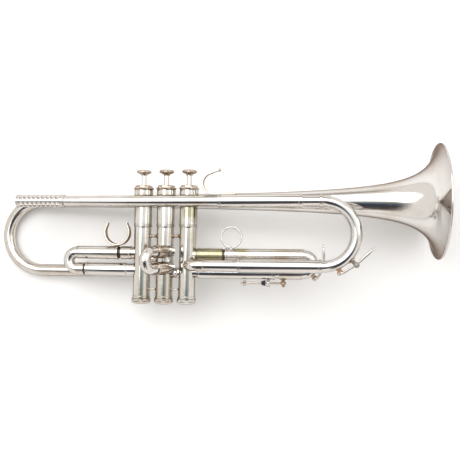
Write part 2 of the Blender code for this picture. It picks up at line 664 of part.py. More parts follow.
def lay_down(root):
    """Turn the instrument on to its left side and centre it over the world origin."""
    drop = BELL_RIM_RADIUS - BOW_TUBE_RADIUS
    run = BELL_RIM_X - (BOW_X - BOW_RADIUS)
    tilt = math.atan2(drop, run)
    turn = Matrix.Rotation(-tilt, 4, "Y") @ Matrix.Rotation(-math.pi / 2, 4, "X")
    root.matrix_basis = turn
    bpy.context.view_layer.update()
    depsgraph = bpy.context.evaluated_depsgraph_get()
    low, high = Vector((math.inf,) * 3), Vector((-math.inf,) * 3)
    for piece in PARTS.objects:
        if piece.type != "MESH":
            continue
        shape = piece.evaluated_get(depsgraph)
        for vertex in shape.to_mesh().vertices:
            place = piece.matrix_world @ vertex.co
            low = Vector(map(min, low, place))
            high = Vector(map(max, high, place))
        shape.to_mesh_clear()
    centre = (low + high) / 2
    root.location = (-centre.x, -centre.y, -low.z)
    bpy.context.view_layer.update()


def build_trumpet():
    """Build every group in the playing frame, then lay the whole down."""
    clear_scene()
    root = empty("trumpet_frame", (0, 0, 0))
    build_bell(root)
    build_leadpipe(root)
    build_valves(root)

    tuning_slide = empty("tuning_slide_axis", (0, PIPE_Y, 0), root)
    build_tuning_slide(tuning_slide)
    build_water_key("tuning", root, tuning_slide, PIPE_Y,
                    (TUNING_CROOK_X, TUNING_LOWER_Z / 2),
                    -TUNING_LOWER_Z / 2 + TUBE_RADIUS, -66.0, -42.8, (216.9, -48.7))

    first_slide = empty("first_slide_axis", (0, 0, FIRST_UPPER_Z), root)
    build_first_slide(root, first_slide)

    second_slide = empty("second_slide_axis", (0, 0, SECOND_UPPER_Z), root)
    build_second_slide(root, second_slide)

    third_slide = empty("third_slide_axis", (0, 0, THIRD_UPPER_Z), root)
    build_third_slide(root, third_slide)
    build_water_key("third", root, third_slide, 0.0,
                    (THIRD_CROOK_X, (THIRD_UPPER_Z + THIRD_LOWER_Z) / 2),
                    (THIRD_UPPER_Z - THIRD_LOWER_Z) / 2 + TUBE_RADIUS, -51.0, -10.7,
                    (168.4, -47.2))

    build_hook_and_braces(root)
    lay_down(root)


build_trumpet()
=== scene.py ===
"""A silver-plated piston trumpet lying on its side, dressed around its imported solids.

Every piece is modelled in the instrument's playing frame, in millimetres, and then set
in the row's frame. In the playing frame x runs along the leadpipe to the bell, y to the
player's left and z up to the finger buttons, from the second valve's axis at the height
of the leadpipe.
"""
from __future__ import annotations

import json
import logging
import math
from dataclasses import dataclass
from enum import Enum
from typing import Iterable, Sequence

import bmesh
import bpy
from mathutils import Matrix, Vector


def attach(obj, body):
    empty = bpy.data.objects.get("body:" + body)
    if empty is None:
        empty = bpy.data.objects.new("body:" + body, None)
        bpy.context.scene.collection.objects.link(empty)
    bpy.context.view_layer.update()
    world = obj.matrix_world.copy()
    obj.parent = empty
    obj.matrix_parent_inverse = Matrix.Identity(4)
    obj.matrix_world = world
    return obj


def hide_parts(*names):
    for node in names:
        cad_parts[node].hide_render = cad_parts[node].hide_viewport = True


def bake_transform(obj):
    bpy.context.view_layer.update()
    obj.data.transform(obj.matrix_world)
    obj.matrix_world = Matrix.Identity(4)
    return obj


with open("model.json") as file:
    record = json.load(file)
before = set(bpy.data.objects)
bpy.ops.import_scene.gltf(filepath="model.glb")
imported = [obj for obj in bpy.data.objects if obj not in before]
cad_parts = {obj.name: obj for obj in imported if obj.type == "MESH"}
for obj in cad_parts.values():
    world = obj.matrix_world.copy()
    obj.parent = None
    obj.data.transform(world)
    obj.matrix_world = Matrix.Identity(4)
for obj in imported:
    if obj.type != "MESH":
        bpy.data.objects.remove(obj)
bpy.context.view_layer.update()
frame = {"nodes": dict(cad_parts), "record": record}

LOG = logging.getLogger("trumpet")
MM = 0.001
Profile = Sequence[tuple[float, float]]

# Sizes that several groups share, in millimetres.
PITCH = 24.8            # from one valve's axis to the next
CANT = 1.2              # how many degrees the valves lean against the tubes
CANT_HEIGHT = -38.0     # the height at which the lean moves no axis
CASING_SEAT = 8.6       # how far from a valve's axis a tube ends, inside the casing's wall
LEADPIPE_Y = -17.0      # the plane of the leadpipe and the tuning slide
LOWER_LEG_Z = -66.9     # the tuning slide's lower leg
PIVOT = (200.57, LEADPIPE_Y, -64.53)    # where the tuning slide's water key turns
INNER_LEG = 5.9         # outside radius of the tubes that slide inside others
OUTER_LEG = 6.85        # outside radius of the tubes that they slide in
SLIDE_BORE = 6.25       # inside radius of those
AIR_BORE = 5.2          # inside radius of the inner tubes
STUB = 6.2              # outside radius of the short tubes at the casings
STUB_RIM = 7.1          # radius of the ring where such a tube meets its leg
BEAD = 7.4              # radius of the beads at the slides' mouths
BAND_BORE = 5.7         # inside radius of the ferrules on the crooks
WALL = 0.7              # thickness of a bent tube's wall
WELD = 1e-4             # points closer than this become one


# ---- Names ----


class Body(str, Enum):
    """The rigid bodies that pieces ride on."""

    MAIN = "body"
    TUNING = "tuning_slide"
    TUNING_KEY = "tuning_water_key"
    FIRST = "first_slide"
    SECOND = "second_slide"
    THIRD = "third_slide"
    THIRD_KEY = "third_water_key"


class Slot(str, Enum):
    """The record's material slots."""

    SILVER = "silver"
    TARNISHED = "tarnished"
    STEEL = "steel"
    CORK = "cork"


# ---- The playing frame ----


@dataclass(frozen=True)
class PlayingFrame:
    """Where the instrument's own axes lie in the row's frame.

    Attributes:
        matrix: turns a place in millimetres in the playing frame to row metres.
    """

    matrix: Matrix

    @classmethod
    def from_joints(cls, joints: Iterable[dict]) -> PlayingFrame:
        """Find the playing frame from the slide's direction and the key's pivot.

        Args:
            joints: the record's joints.

        Returns:
            The frame, exact to the record's own rounding.
        """
        by_name = {joint["name"]: joint for joint in joints}
        along = Vector(by_name["tuning_slide_pull"]["axis"]).normalized()
        key = by_name["tuning_water_key_lift"]
        left = -Vector(key["axis"]).normalized()
        up = along.cross(left).normalized()
        turn = Matrix((along, left, up)).transposed()
        pivot = Vector(PIVOT) * MM
        origin = Vector(key["pos_m"]) - turn @ pivot
        return cls(Matrix.Translation(origin) @ turn.to_4x4() @ Matrix.Scale(MM, 4))

    def point(self, x: float, y: float, z: float) -> Vector:
        """The row place of a point given in the playing frame."""
        return self.matrix @ Vector((x, y, z))


# ---- Shape builders ----


def stand(work: bmesh.types.BMesh, at: Sequence[float],
          towards: Sequence[float]) -> bmesh.types.BMesh:
    """Set a shape made about +Z on a place, with +Z turned to a direction.

    Args:
        work: the shape, changed in place.
        at: where its origin goes.
        towards: where its +Z points.

    Returns:
        The same shape.
    """
    turn = Vector(towards).to_track_quat("Z", "Y").to_matrix().to_4x4()
    bmesh.ops.transform(work, matrix=Matrix.Translation(Vector(at)) @ turn,
                        verts=work.verts)
    return work


def lathe(profile: Profile, sides: int = 64, rounding: float = 0.0) -> bmesh.types.BMesh:
    """Turn a profile of (radius, height) points about +Z into a closed shape.

    Args:
        profile: the outline. It is solid if both ends are on the axis, and else a loop.
        sides: steps round the axis.
        rounding: how far each corner is rounded, in millimetres.

    Returns:
        The shape, its faces outwards.
    """
    work = bmesh.new()
    points = [work.verts.new((radius, 0.0, height)) for radius, height in profile]
    for one, other in zip(points, points[1:]):
        work.edges.new((one, other))
    looped = profile[0][0] > 0.0
    if looped:
        work.edges.new((points[-1], points[0]))
    if rounding:
        corners = points if looped else points[1:-1]
        bmesh.ops.bevel(work, geom=corners, offset=rounding, offset_type="OFFSET",
                        segments=3, profile=0.5, affect="VERTICES", material=-1,
                        clamp_overlap=True)
    bmesh.ops.spin(work, geom=work.verts[:] + work.edges[:], cent=(0, 0, 0),
                   axis=(0, 0, 1), angle=math.tau, steps=sides, use_merge=True)
    bmesh.ops.remove_doubles(work, verts=work.verts, dist=WELD)
    bmesh.ops.recalc_face_normals(work, faces=work.faces)
    return work


def rod(start: Sequence[float], end: Sequence[float], radius: float, sides: int = 32,
        rounding: float = 0.2) -> bmesh.types.BMesh:
    """A plain rod between two points, its ends rounded.

    Args:
        start: the middle of one end.
        end: and of the other.
        radius: of the rod.
        sides: steps round it.
        rounding: of its ends' edges.

    Returns:
        The shape.
    """
    start, end = Vector(start), Vector(end)
    length = (end - start).length
    work = lathe([(0, 0), (radius, 0), (radius, length), (0, length)], sides, rounding)
    return stand(work, start, end - start)


def knurl(work: bmesh.types.BMesh, inside: float, low: float, high: float,
          depth: float) -> None:
    """Cut upright grooves round a band by drawing in every other line of points.

    Args:
        work: a turned shape about +Z with an even number of sides.
        inside: points nearer the axis than this stay.
        low: the band's lower height.
        high: and its upper height.
        depth: how deep the grooves are.
    """
    ring = [v for v in work.verts
            if low <= v.co.z <= high and math.hypot(v.co.x, v.co.y) > inside]
    angle_of = {v: round(math.atan2(v.co.y, v.co.x), 3) for v in ring}
    drawn = set(sorted(set(angle_of.values()))[::2])
    for vertex in ring:
        if angle_of[vertex] in drawn:
            radius = math.hypot(vertex.co.x, vertex.co.y)
            vertex.co.x *= (radius - depth) / radius
            vertex.co.y *= (radius - depth) / radius


def merged(parts: Sequence[bmesh.types.BMesh]) -> bmesh.types.BMesh:
    """Put several shapes in one, and free the later ones.

    Args:
        parts: the shapes. The first one takes the others in.

    Returns:
        The first shape.
    """
    first = parts[0]
    for part in parts[1:]:
        mesh = bpy.data.meshes.new("part")
        part.to_mesh(mesh)
        part.free()
        first.from_mesh(mesh)
        bpy.data.meshes.remove(mesh)
    return first


def edges_of(geometry: Iterable[bmesh.types.BMEdge | bmesh.types.BMVert]
             ) -> list[bmesh.types.BMEdge]:
    """The edges among what an operator gave back."""
    return [item for item in geometry if isinstance(item, bmesh.types.BMEdge)]


class Tube:
    """A section drawn along straight runs and bends, ring by ring."""

    def __init__(self, start: Sequence[float], heading: Sequence[float]) -> None:
        """Start with no section yet.

        Args:
            start: the middle of the first section.
            heading: the way the tube sets off.
        """
        self.work = bmesh.new()
        self.at = Vector(start)
        self.heading = Vector(heading).normalized()
        self.ring: list[bmesh.types.BMEdge] = []

    @classmethod
    def round(cls, start: Sequence[float], heading: Sequence[float], radius: float,
              sides: int = 48) -> Tube:
        """Start with a round section.

        Args:
            start: the middle of the first section.
            heading: the way the tube sets off.
            radius: its outside radius.
            sides: points round the section.

        Returns:
            The tube, ready to be drawn out.
        """
        tube = cls(start, heading)
        turn = tube.heading.to_track_quat("Z", "Y").to_matrix().to_4x4()
        bmesh.ops.create_circle(tube.work, segments=sides, radius=radius,
                                matrix=Matrix.Translation(tube.at) @ turn)
        tube.ring = list(tube.work.edges)
        return tube

    @classmethod
    def flat(cls, start: Sequence[float], heading: Sequence[float], across: Sequence[float],
             width: float, thickness: float) -> Tube:
        """Start with a flat section with rounded edges.

        Args:
            start: the middle of the first section.
            heading: the way the strap sets off.
            across: the direction of its width.
            width: its width.
            thickness: its thickness.

        Returns:
            The tube, ready to be drawn out.
        """
        tube = cls(start, heading)
        side = Vector(across).normalized()
        rise = tube.heading.cross(side).normalized()
        basis = Matrix((side * width / 2, rise * thickness / 2, tube.heading))
        turn = Matrix.Translation(tube.at) @ basis.transposed().to_4x4()
        bmesh.ops.create_circle(tube.work, segments=4, radius=math.sqrt(2),
                                matrix=turn @ Matrix.Rotation(math.pi / 4, 4, "Z"))
        bmesh.ops.bevel(tube.work, geom=tube.work.verts[:], offset=thickness * 0.3,
                        offset_type="OFFSET", segments=3, profile=0.5, affect="VERTICES",
                        material=-1, clamp_overlap=True)
        tube.ring = list(tube.work.edges)
        return tube

    def ring_points(self) -> list[bmesh.types.BMVert]:
        """The points of the open end."""
        return list({vertex for edge in self.ring for vertex in edge.verts})

    def straight(self, length: float, scale: float = 1.0) -> Tube:
        """Run straight on, swelling or narrowing by a factor.

        Args:
            length: how far.
            scale: the end section's size over the last one's.

        Returns:
            The tube itself.
        """
        out = bmesh.ops.extrude_edge_only(self.work, edges=self.ring)["geom"]
        self.ring = [edge for edge in edges_of(out)
                     if all(vertex in out for vertex in edge.verts)]
        points = self.ring_points()
        bmesh.ops.translate(self.work, verts=points, vec=self.heading * length)
        self.at = self.at + self.heading * length
        if scale != 1.0:
            bmesh.ops.scale(self.work, verts=points, vec=(scale, scale, scale),
                            space=Matrix.Translation(-self.at))
        return self

    def bend(self, radius: float, angle: float, towards: Sequence[float],
             steps: int = 24) -> Tube:
        """Bend through an angle in degrees, towards a direction square to the tube.

        Args:
            radius: of the centre line.
            angle: in degrees.
            towards: the side the bend's centre is on.
            steps: rings in the bend.

        Returns:
            The tube itself.
        """
        inward = Vector(towards).normalized()
        centre = self.at + inward * radius
        axis = self.heading.cross(inward).normalized()
        out = bmesh.ops.spin(self.work, geom=self.ring, cent=centre, axis=axis,
                             angle=math.radians(angle), steps=steps)
        self.ring = edges_of(out["geom_last"])
        turn = Matrix.Rotation(math.radians(angle), 3, axis)
        self.at = centre + turn @ (self.at - centre)
        self.heading = turn @ self.heading
        return self

    def coil(self, centre: Sequence[float], axis: Sequence[float], rise: Sequence[float],
             turns: float, steps: int) -> Tube:
        """Wind on round an axis.

        Args:
            centre: a place on the axis.
            axis: its direction.
            rise: how far each step moves along it.
            turns: how many times round.
            steps: rings in all the turns together.

        Returns:
            The tube itself.
        """
        out = bmesh.ops.spin(self.work, geom=self.ring, cent=centre, axis=axis, dvec=rise,
                             angle=math.tau * turns, steps=steps)
        self.ring = edges_of(out["geom_last"])
        return self

    def seat(self, x: float, y: float, radius: float) -> Tube:
        """Let the open end run up to an upright cylinder and follow its side.

        Args:
            x: of the cylinder's axis.
            y: of the cylinder's axis.
            radius: of the cylinder.

        Returns:
            The tube itself.
        """
        self.straight(0.5)
        way = self.heading
        for vertex in self.ring_points():
            offset = Vector((vertex.co.x - x, vertex.co.y - y, 0.0))
            run = offset.dot(way)
            aside = (offset - way * run).length
            reach = math.sqrt(max(radius * radius - aside * aside, 0.0))
            vertex.co += way * (-reach - run)
        return self

    def capped(self) -> bmesh.types.BMesh:
        """Close both ends and hand the solid over.

        Returns:
            The closed shape.
        """
        open_edges = [edge for edge in self.work.edges if edge.is_boundary]
        bmesh.ops.holes_fill(self.work, edges=open_edges)
        bmesh.ops.recalc_face_normals(self.work, faces=self.work.faces)
        return self.work

    def walled(self, wall: float) -> bmesh.types.BMesh:
        """Give the tube a wall inwards and hand it over.

        Args:
            wall: its thickness.

        Returns:
            The closed thin-walled tube.
        """
        bmesh.ops.recalc_face_normals(self.work, faces=self.work.faces)
        edge = next(edge for edge in self.work.edges if edge.is_boundary)
        face = edge.link_faces[0]
        ring = self.boundary_of(edge)
        middle = sum((vertex.co for vertex in ring), Vector()) / len(ring)
        if face.normal.dot(face.calc_center_median() - middle) < 0:
            bmesh.ops.reverse_faces(self.work, faces=self.work.faces)
        bmesh.ops.solidify(self.work, geom=self.work.faces[:], thickness=wall)
        bmesh.ops.recalc_face_normals(self.work, faces=self.work.faces)
        return self.work

    def boundary_of(self, edge: bmesh.types.BMEdge) -> list[bmesh.types.BMVert]:
        """The points of the open ring that an edge belongs to.

        Args:
            edge: an edge with one face.

        Returns:
            The ring's points.
        """
        seen, queue = {edge}, [edge]
        while queue:
            for vertex in queue.pop().verts:
                for other in vertex.link_edges:
                    if other.is_boundary and other not in seen:
                        seen.add(other)
                        queue.append(other)
        return list({vertex for item in seen for vertex in item.verts})


# ---- Shared shader groups ----


def new_group(name: str, inputs: Sequence[tuple[str, float]],
              output: str) -> tuple[bpy.types.NodeTree, bpy.types.Node, bpy.types.Node]:
    """A shader node group of plain float inputs with one float output.

    Args:
        name: of the group.
        inputs: each socket's name and value.
        output: the output socket's name.

    Returns:
        The group, its input node and its output node.
    """
    tree = bpy.data.node_groups.new(name, "ShaderNodeTree")
    for label, value in inputs:
        socket = tree.interface.new_socket(label, in_out="INPUT",
                                           socket_type="NodeSocketFloat")
        socket.default_value = value
    tree.interface.new_socket(output, in_out="OUTPUT", socket_type="NodeSocketFloat")
    return tree, tree.nodes.new("NodeGroupInput"), tree.nodes.new("NodeGroupOutput")


def math_node(tree: bpy.types.NodeTree, operation: str, first: bpy.types.NodeSocket,
              second: bpy.types.NodeSocket | float,
              clamp: bool = False) -> bpy.types.NodeSocket:
    """A Math node on two values, the second a socket or a number.

    Args:
        tree: the node tree.
        operation: what the node does.
        first: its first value.
        second: its second value.
        clamp: whether the result stays between 0 and 1.

    Returns:
        The node's output.
    """
    node = tree.nodes.new("ShaderNodeMath")
    node.operation = operation
    node.use_clamp = clamp
    tree.links.new(first, node.inputs[0])
    if isinstance(second, bpy.types.NodeSocket):
        tree.links.new(second, node.inputs[1])
    else:
        node.inputs[1].default_value = second
    return node.outputs[0]


def noise(tree: bpy.types.NodeTree, scale: bpy.types.NodeSocket | float, detail: float,
          stretch: Sequence[float] = (1.0, 1.0, 1.0)) -> bpy.types.NodeSocket:
    """A Noise texture on Object coordinates, stretched if asked.

    Args:
        tree: the node tree.
        scale: of the texture, a socket or a number.
        detail: of the texture.
        stretch: scale along each axis.

    Returns:
        The texture's output.
    """
    place = tree.nodes.new("ShaderNodeTexCoord")
    mapping = tree.nodes.new("ShaderNodeMapping")
    mapping.inputs["Scale"].default_value = stretch
    texture = tree.nodes.new("ShaderNodeTexNoise")
    texture.inputs["Detail"].default_value = detail
    tree.links.new(place.outputs["Object"], mapping.inputs["Vector"])
    tree.links.new(mapping.outputs[0], texture.inputs["Vector"])
    if isinstance(scale, bpy.types.NodeSocket):
        tree.links.new(scale, texture.inputs["Scale"])
    else:
        texture.inputs["Scale"].default_value = scale
    return texture.outputs["Fac"]


class Effects:
    """The effects that several finishes share, each one node group."""

    def __init__(self) -> None:
        """Build every group once."""
        self.tarnish = self.build_tarnish()
        self.smudges = self.build_smudges()
        self.hairlines = self.build_hairlines()
        self.patch = self.build_patch()

    @staticmethod
    def build_tarnish() -> bpy.types.NodeTree:
        """Soft clouds of tarnish with finer mottling at their edges.

        Returns:
            The group.
        """
        tree, start, end = new_group("Tarnish clouds", (("Scale", 28.0), ("Cover", 0.4)),
                                     "Mask")
        broad = noise(tree, start.outputs["Scale"], 3.0)
        fine = noise(tree, 420.0, 4.0)
        spread = math_node(tree, "MULTIPLY", fine, 0.35)
        both = math_node(tree, "ADD", broad, spread)
        lifted = math_node(tree, "ADD", both, start.outputs["Cover"])
        lowered = math_node(tree, "SUBTRACT", lifted, 0.87)
        mask = math_node(tree, "MULTIPLY", lowered, 3.2, clamp=True)
        tree.links.new(mask, end.inputs["Mask"])
        return tree

    @staticmethod
    def build_smudges() -> bpy.types.NodeTree:
        """Roughness that handling leaves, between a base and the base plus a spread.

        Returns:
            The group.
        """
        tree, start, end = new_group("Handling smudges",
                                     (("Base", 0.12), ("Spread", 0.12)), "Roughness")
        soft = noise(tree, 70.0, 5.0)
        shaped = math_node(tree, "POWER", soft, 2.0)
        varied = math_node(tree, "MULTIPLY", shaped, start.outputs["Spread"])
        doubled = math_node(tree, "MULTIPLY", varied, 2.0)
        tree.links.new(math_node(tree, "ADD", doubled, start.outputs["Base"]),
                       end.inputs["Roughness"])
        return tree

    @staticmethod
    def build_hairlines() -> bpy.types.NodeTree:
        """Height of fine polishing lines over slow unevenness in the tube.

        Returns:
            The group.
        """
        tree, start, end = new_group("Polishing lines", (("Lines", 0.3), ("Waves", 1.0)),
                                     "Height")
        lines = noise(tree, 900.0, 3.0, (0.12, 1.0, 1.0))
        waves = noise(tree, 36.0, 2.0)
        thin = math_node(tree, "MULTIPLY", lines, start.outputs["Lines"])
        slow = math_node(tree, "MULTIPLY", waves, start.outputs["Waves"])
        tree.links.new(math_node(tree, "ADD", thin, slow), end.inputs["Height"])
        return tree

    @staticmethod
    def build_patch() -> bpy.types.NodeTree:
        """A ragged patch about a place, given in row metres.

        Returns:
            The group.
        """
        tree, start, end = new_group("Ragged patch", (("X", 0.0), ("Y", 0.0), ("Z", 0.0),
                                                      ("Radius", 0.01)), "Mask")
        place = tree.nodes.new("ShaderNodeTexCoord")
        centre = tree.nodes.new("ShaderNodeCombineXYZ")
        for axis in "XYZ":
            tree.links.new(start.outputs[axis], centre.inputs[axis])
        apart = tree.nodes.new("ShaderNodeVectorMath")
        apart.operation = "DISTANCE"
        tree.links.new(place.outputs["Object"], apart.inputs[0])
        tree.links.new(centre.outputs[0], apart.inputs[1])
        share = math_node(tree, "DIVIDE", apart.outputs["Value"], start.outputs["Radius"])
        ragged = math_node(tree, "ADD", share, noise(tree, 260.0, 5.0))
        inverse = math_node(tree, "MULTIPLY", ragged, -2.2)
        tree.links.new(math_node(tree, "ADD", inverse, 3.0, clamp=True),
                       end.inputs["Mask"])
        return tree


# ---- Finishes ----


Colour = tuple[float, float, float]


class Paintbox:
    """One material under construction, with short ways to place nodes in it."""

    def __init__(self, name: str) -> None:
        """Make the material with a bare Principled shader.

        Args:
            name: of the material.
        """
        self.material = bpy.data.materials.new(name)
        self.material.use_nodes = True
        self.tree = self.material.node_tree
        self.shader = self.tree.nodes["Principled BSDF"]

    def set(self, **values: float) -> None:
        """Set constants on the shader's own sockets, underscores for spaces."""
        for label, value in values.items():
            self.shader.inputs[label.replace("_", " ")].default_value = value

    def group(self, tree: bpy.types.NodeTree, **values: float) -> bpy.types.NodeSocket:
        """Place a shared group with its own values and give its output.

        Args:
            tree: the group.
            **values: its inputs' values by name.

        Returns:
            Its output.
        """
        node = self.tree.nodes.new("ShaderNodeGroup")
        node.node_tree = tree
        for label, value in values.items():
            node.inputs[label].default_value = value
        return node.outputs[0]

    def mix(self, mask: bpy.types.NodeSocket, first: bpy.types.NodeSocket | Colour,
            second: bpy.types.NodeSocket | Colour) -> bpy.types.NodeSocket:
        """Mix two colours by a mask.

        Args:
            mask: 0 for the first colour and 1 for the second.
            first: a colour or a socket.
            second: the other one.

        Returns:
            The mixed colour.
        """
        node = self.tree.nodes.new("ShaderNodeMix")
        node.data_type = "RGBA"
        self.tree.links.new(mask, node.inputs["Factor"])
        for label, colour in (("A", first), ("B", second)):
            socket = next(s for s in node.inputs if s.name == label and s.type == "RGBA")
            if isinstance(colour, bpy.types.NodeSocket):
                self.tree.links.new(colour, socket)
            else:
                socket.default_value = (*colour, 1.0)
        return next(s for s in node.outputs if s.type == "RGBA")

    def link(self, socket: bpy.types.NodeSocket, label: str) -> None:
        """Feed a shader socket."""
        self.tree.links.new(socket, self.shader.inputs[label])

    def bump(self, height: bpy.types.NodeSocket, strength: float, depth: float) -> None:
        """Feed the shader's normal from a height, its depth in metres.

        Args:
            height: the height.
            strength: of the effect.
            depth: what a height of 1 is, in metres.
        """
        node = self.tree.nodes.new("ShaderNodeBump")
        node.inputs["Strength"].default_value = strength
        node.inputs["Distance"].default_value = depth
        self.tree.links.new(height, node.inputs["Height"])
        self.link(node.outputs["Normal"], "Normal")


@dataclass(frozen=True)
class Patch:
    """A darker stain at a place in the playing frame, in millimetres."""

    at: tuple[float, float, float]
    radius: float
    colour: Colour


@dataclass(frozen=True)
class SilverPlate:
    """Polished silver plate that has begun to tarnish.

    Attributes:
        name: of the material.
        clean: its colour where it is bright.
        dull: its colour under tarnish.
        edge: the tint of its reflections where it turns away, kept dark to paint shade
            along the rims.
        cover: how much tarnish there is.
        roughness: of the bright metal.
        waves: how uneven the surface under the polish is.
        patches: stains at known places.
    """

    name: str
    clean: Colour = (0.73, 0.71, 0.685)
    dull: Colour = (0.60, 0.53, 0.45)
    # A dark edge tint: painted shade along the rims, in place of bright grazing
    # reflections.
    edge: Colour = (0.26, 0.21, 0.17)
    cover: float = 0.3
    roughness: float = 0.07
    waves: float = 0.5
    patches: tuple[Patch, ...] = ()

    def build(self, effects: Effects, place: PlayingFrame) -> bpy.types.Material:
        """Make the material.

        Args:
            effects: the shared groups.
            place: the playing frame.

        Returns:
            The material.
        """
        box = Paintbox(self.name)
        # The dark edge tint paints shade along the rims.
        box.set(Metallic=1.0, Specular_Tint=(*self.edge, 1.0))
        clouds = box.group(effects.tarnish, Scale=26.0, Cover=self.cover)
        colour = box.mix(clouds, self.clean, self.dull)
        for patch in self.patches:
            centre = place.point(*patch.at)
            mask = box.group(effects.patch, X=centre.x, Y=centre.y, Z=centre.z,
                             Radius=patch.radius * MM)
            colour = box.mix(mask, colour, patch.colour)
        box.link(colour, "Base Color")
        box.link(box.group(effects.smudges, Base=self.roughness, Spread=0.12),
                 "Roughness")
        box.bump(box.group(effects.hairlines, Lines=0.05, Waves=self.waves), 0.35, 0.0006)
        return box.material


@dataclass(frozen=True)
class BareSteel:
    """Spring wire and bare nickel alloy, with a fine drawn grain."""

    name: str = "Bare steel"
    clean: Colour = (0.56, 0.55, 0.53)
    dull: Colour = (0.36, 0.32, 0.27)

    def build(self, effects: Effects, place: PlayingFrame) -> bpy.types.Material:
        """Make the material.

        Args:
            effects: the shared groups.
            place: the playing frame; not used.

        Returns:
            The material.
        """
        box = Paintbox(self.name)
        box.set(Metallic=1.0)
        box.link(box.mix(box.group(effects.tarnish, Scale=90.0, Cover=0.3), self.clean,
                         self.dull), "Base Color")
        box.link(box.group(effects.smudges, Base=0.24, Spread=0.16), "Roughness")
        box.bump(box.group(effects.hairlines, Lines=0.3, Waves=0.2), 0.4, 0.0002)
        return box.material


@dataclass(frozen=True)
class Cork:
    """Pressed natural cork: pale grains, dark pores."""

    name: str = "Cork"
    pale: Colour = (0.62, 0.31, 0.11)
    dark: Colour = (0.22, 0.09, 0.03)

    def build(self, effects: Effects, place: PlayingFrame) -> bpy.types.Material:
        """Make the material.

        Args:
            effects: the shared groups.
            place: the playing frame; not used.

        Returns:
            The material.
        """
        box = Paintbox(self.name)
        cells = box.tree.nodes.new("ShaderNodeTexVoronoi")
        cells.inputs["Scale"].default_value = 1400.0
        coordinates = box.tree.nodes.new("ShaderNodeTexCoord")
        box.tree.links.new(coordinates.outputs["Object"], cells.inputs["Vector"])
        grains = math_node(box.tree, "POWER", cells.outputs["Distance"], 1.6)
        box.link(box.mix(grains, self.pale, self.dark), "Base Color")
        box.link(box.group(effects.smudges, Base=0.7, Spread=0.2), "Roughness")
        box.bump(grains, 0.6, 0.0003)
        return box.material


@dataclass(frozen=True)
class Pearl:
    """Mother-of-pearl inlay: milky, with faint pink and green clouds under a gloss."""

    name: str = "Pearl"
    milk: Colour = (0.80, 0.77, 0.72)
    blush: Colour = (0.72, 0.60, 0.56)
    leaf: Colour = (0.58, 0.68, 0.62)

    def build(self, effects: Effects, place: PlayingFrame) -> bpy.types.Material:
        """Make the material.

        Args:
            effects: the shared groups.
            place: the playing frame; not used.

        Returns:
            The material.
        """
        box = Paintbox(self.name)
        box.set(Coat_Weight=0.8, Coat_Roughness=0.05, Metallic=0.15)
        pink = box.mix(box.group(effects.tarnish, Scale=160.0, Cover=0.35), self.milk,
                       self.blush)
        box.link(box.mix(box.group(effects.tarnish, Scale=230.0, Cover=0.25), pink,
                         self.leaf), "Base Color")
        box.link(box.group(effects.smudges, Base=0.2, Spread=0.15), "Roughness")
        return box.material


@dataclass(frozen=True)
class Rubber:
    """Black rubber of the bumper, dusty on its skin."""

    name: str = "Rubber"
    black: Colour = (0.02, 0.02, 0.022)
    dust: Colour = (0.12, 0.11, 0.10)

    def build(self, effects: Effects, place: PlayingFrame) -> bpy.types.Material:
        """Make the material.

        Args:
            effects: the shared groups.
            place: the playing frame; not used.

        Returns:
            The material.
        """
        box = Paintbox(self.name)
        box.link(box.mix(box.group(effects.tarnish, Scale=120.0, Cover=0.3), self.black,
                         self.dust), "Base Color")
        box.link(box.group(effects.smudges, Base=0.55, Spread=0.2), "Roughness")
        box.bump(box.group(effects.hairlines, Lines=0.6, Waves=0.2), 0.3, 0.0002)
        return box.material


class Finishes:
    """Every finish on the instrument, built once."""

    def __init__(self, place: PlayingFrame) -> None:
        """Build the materials.

        Args:
            place: the playing frame, for stains at known places.
        """
        effects = Effects()
        # The dark edge tints below paint shade along the rims.
        plain = {
            "silver": SilverPlate("Silver plate"),
            "bright": SilverPlate("Bright silver", cover=0.15, roughness=0.04, waves=0.3),
            "bell": SilverPlate("Bell silver", cover=0.2, roughness=0.045, waves=0.35,
                                edge=(0.24, 0.18, 0.15)),
            "worn": SilverPlate("Worn silver", clean=(0.76, 0.72, 0.67), cover=0.42,
                                roughness=0.1, dull=(0.50, 0.41, 0.33)),
            "casing": SilverPlate(
                "Casing silver", clean=(0.73, 0.72, 0.685), dull=(0.64, 0.60, 0.52),
                cover=0.3, edge=(0.18, 0.12, 0.08),
                patches=(Patch((30.0, -7.0, -9.0), 15.0, (0.46, 0.44, 0.31)),
                         Patch((32.0, -5.0, -38.0), 12.0, (0.62, 0.60, 0.50)))),
            "olive": SilverPlate(
                "Olive tarnish", clean=(0.52, 0.49, 0.37), dull=(0.35, 0.32, 0.20),
                cover=0.55, roughness=0.2,
                patches=(Patch((108.0, 0.0, -56.6), 40.0, (0.80, 0.78, 0.72)),)),
            "collar": SilverPlate(
                "Sleeve silver", cover=0.34,
                patches=(Patch((82.0, -2.0, -50.5), 13.0, (0.50, 0.46, 0.30)),)),
            # Near-black rings at the legs' mouths: old grease, and painted shade in the
            # gaps.
            "grime": SilverPlate("Grease and painted shade in the gaps", clean=(0.13, 0.10, 0.08),
                                 dull=(0.06, 0.045, 0.035), edge=(0.2, 0.16, 0.12),
                                 cover=0.4, roughness=0.35),
            "steel": BareSteel(),
            "cork": Cork(),
            "pearl": Pearl(),
            "rubber": Rubber(),
        }
        self.materials = {key: finish.build(effects, place)
                          for key, finish in plain.items()}

    def __getitem__(self, key: str) -> bpy.types.Material:
        """The material of that name."""
        return self.materials[key]


# ---- The workshop ----


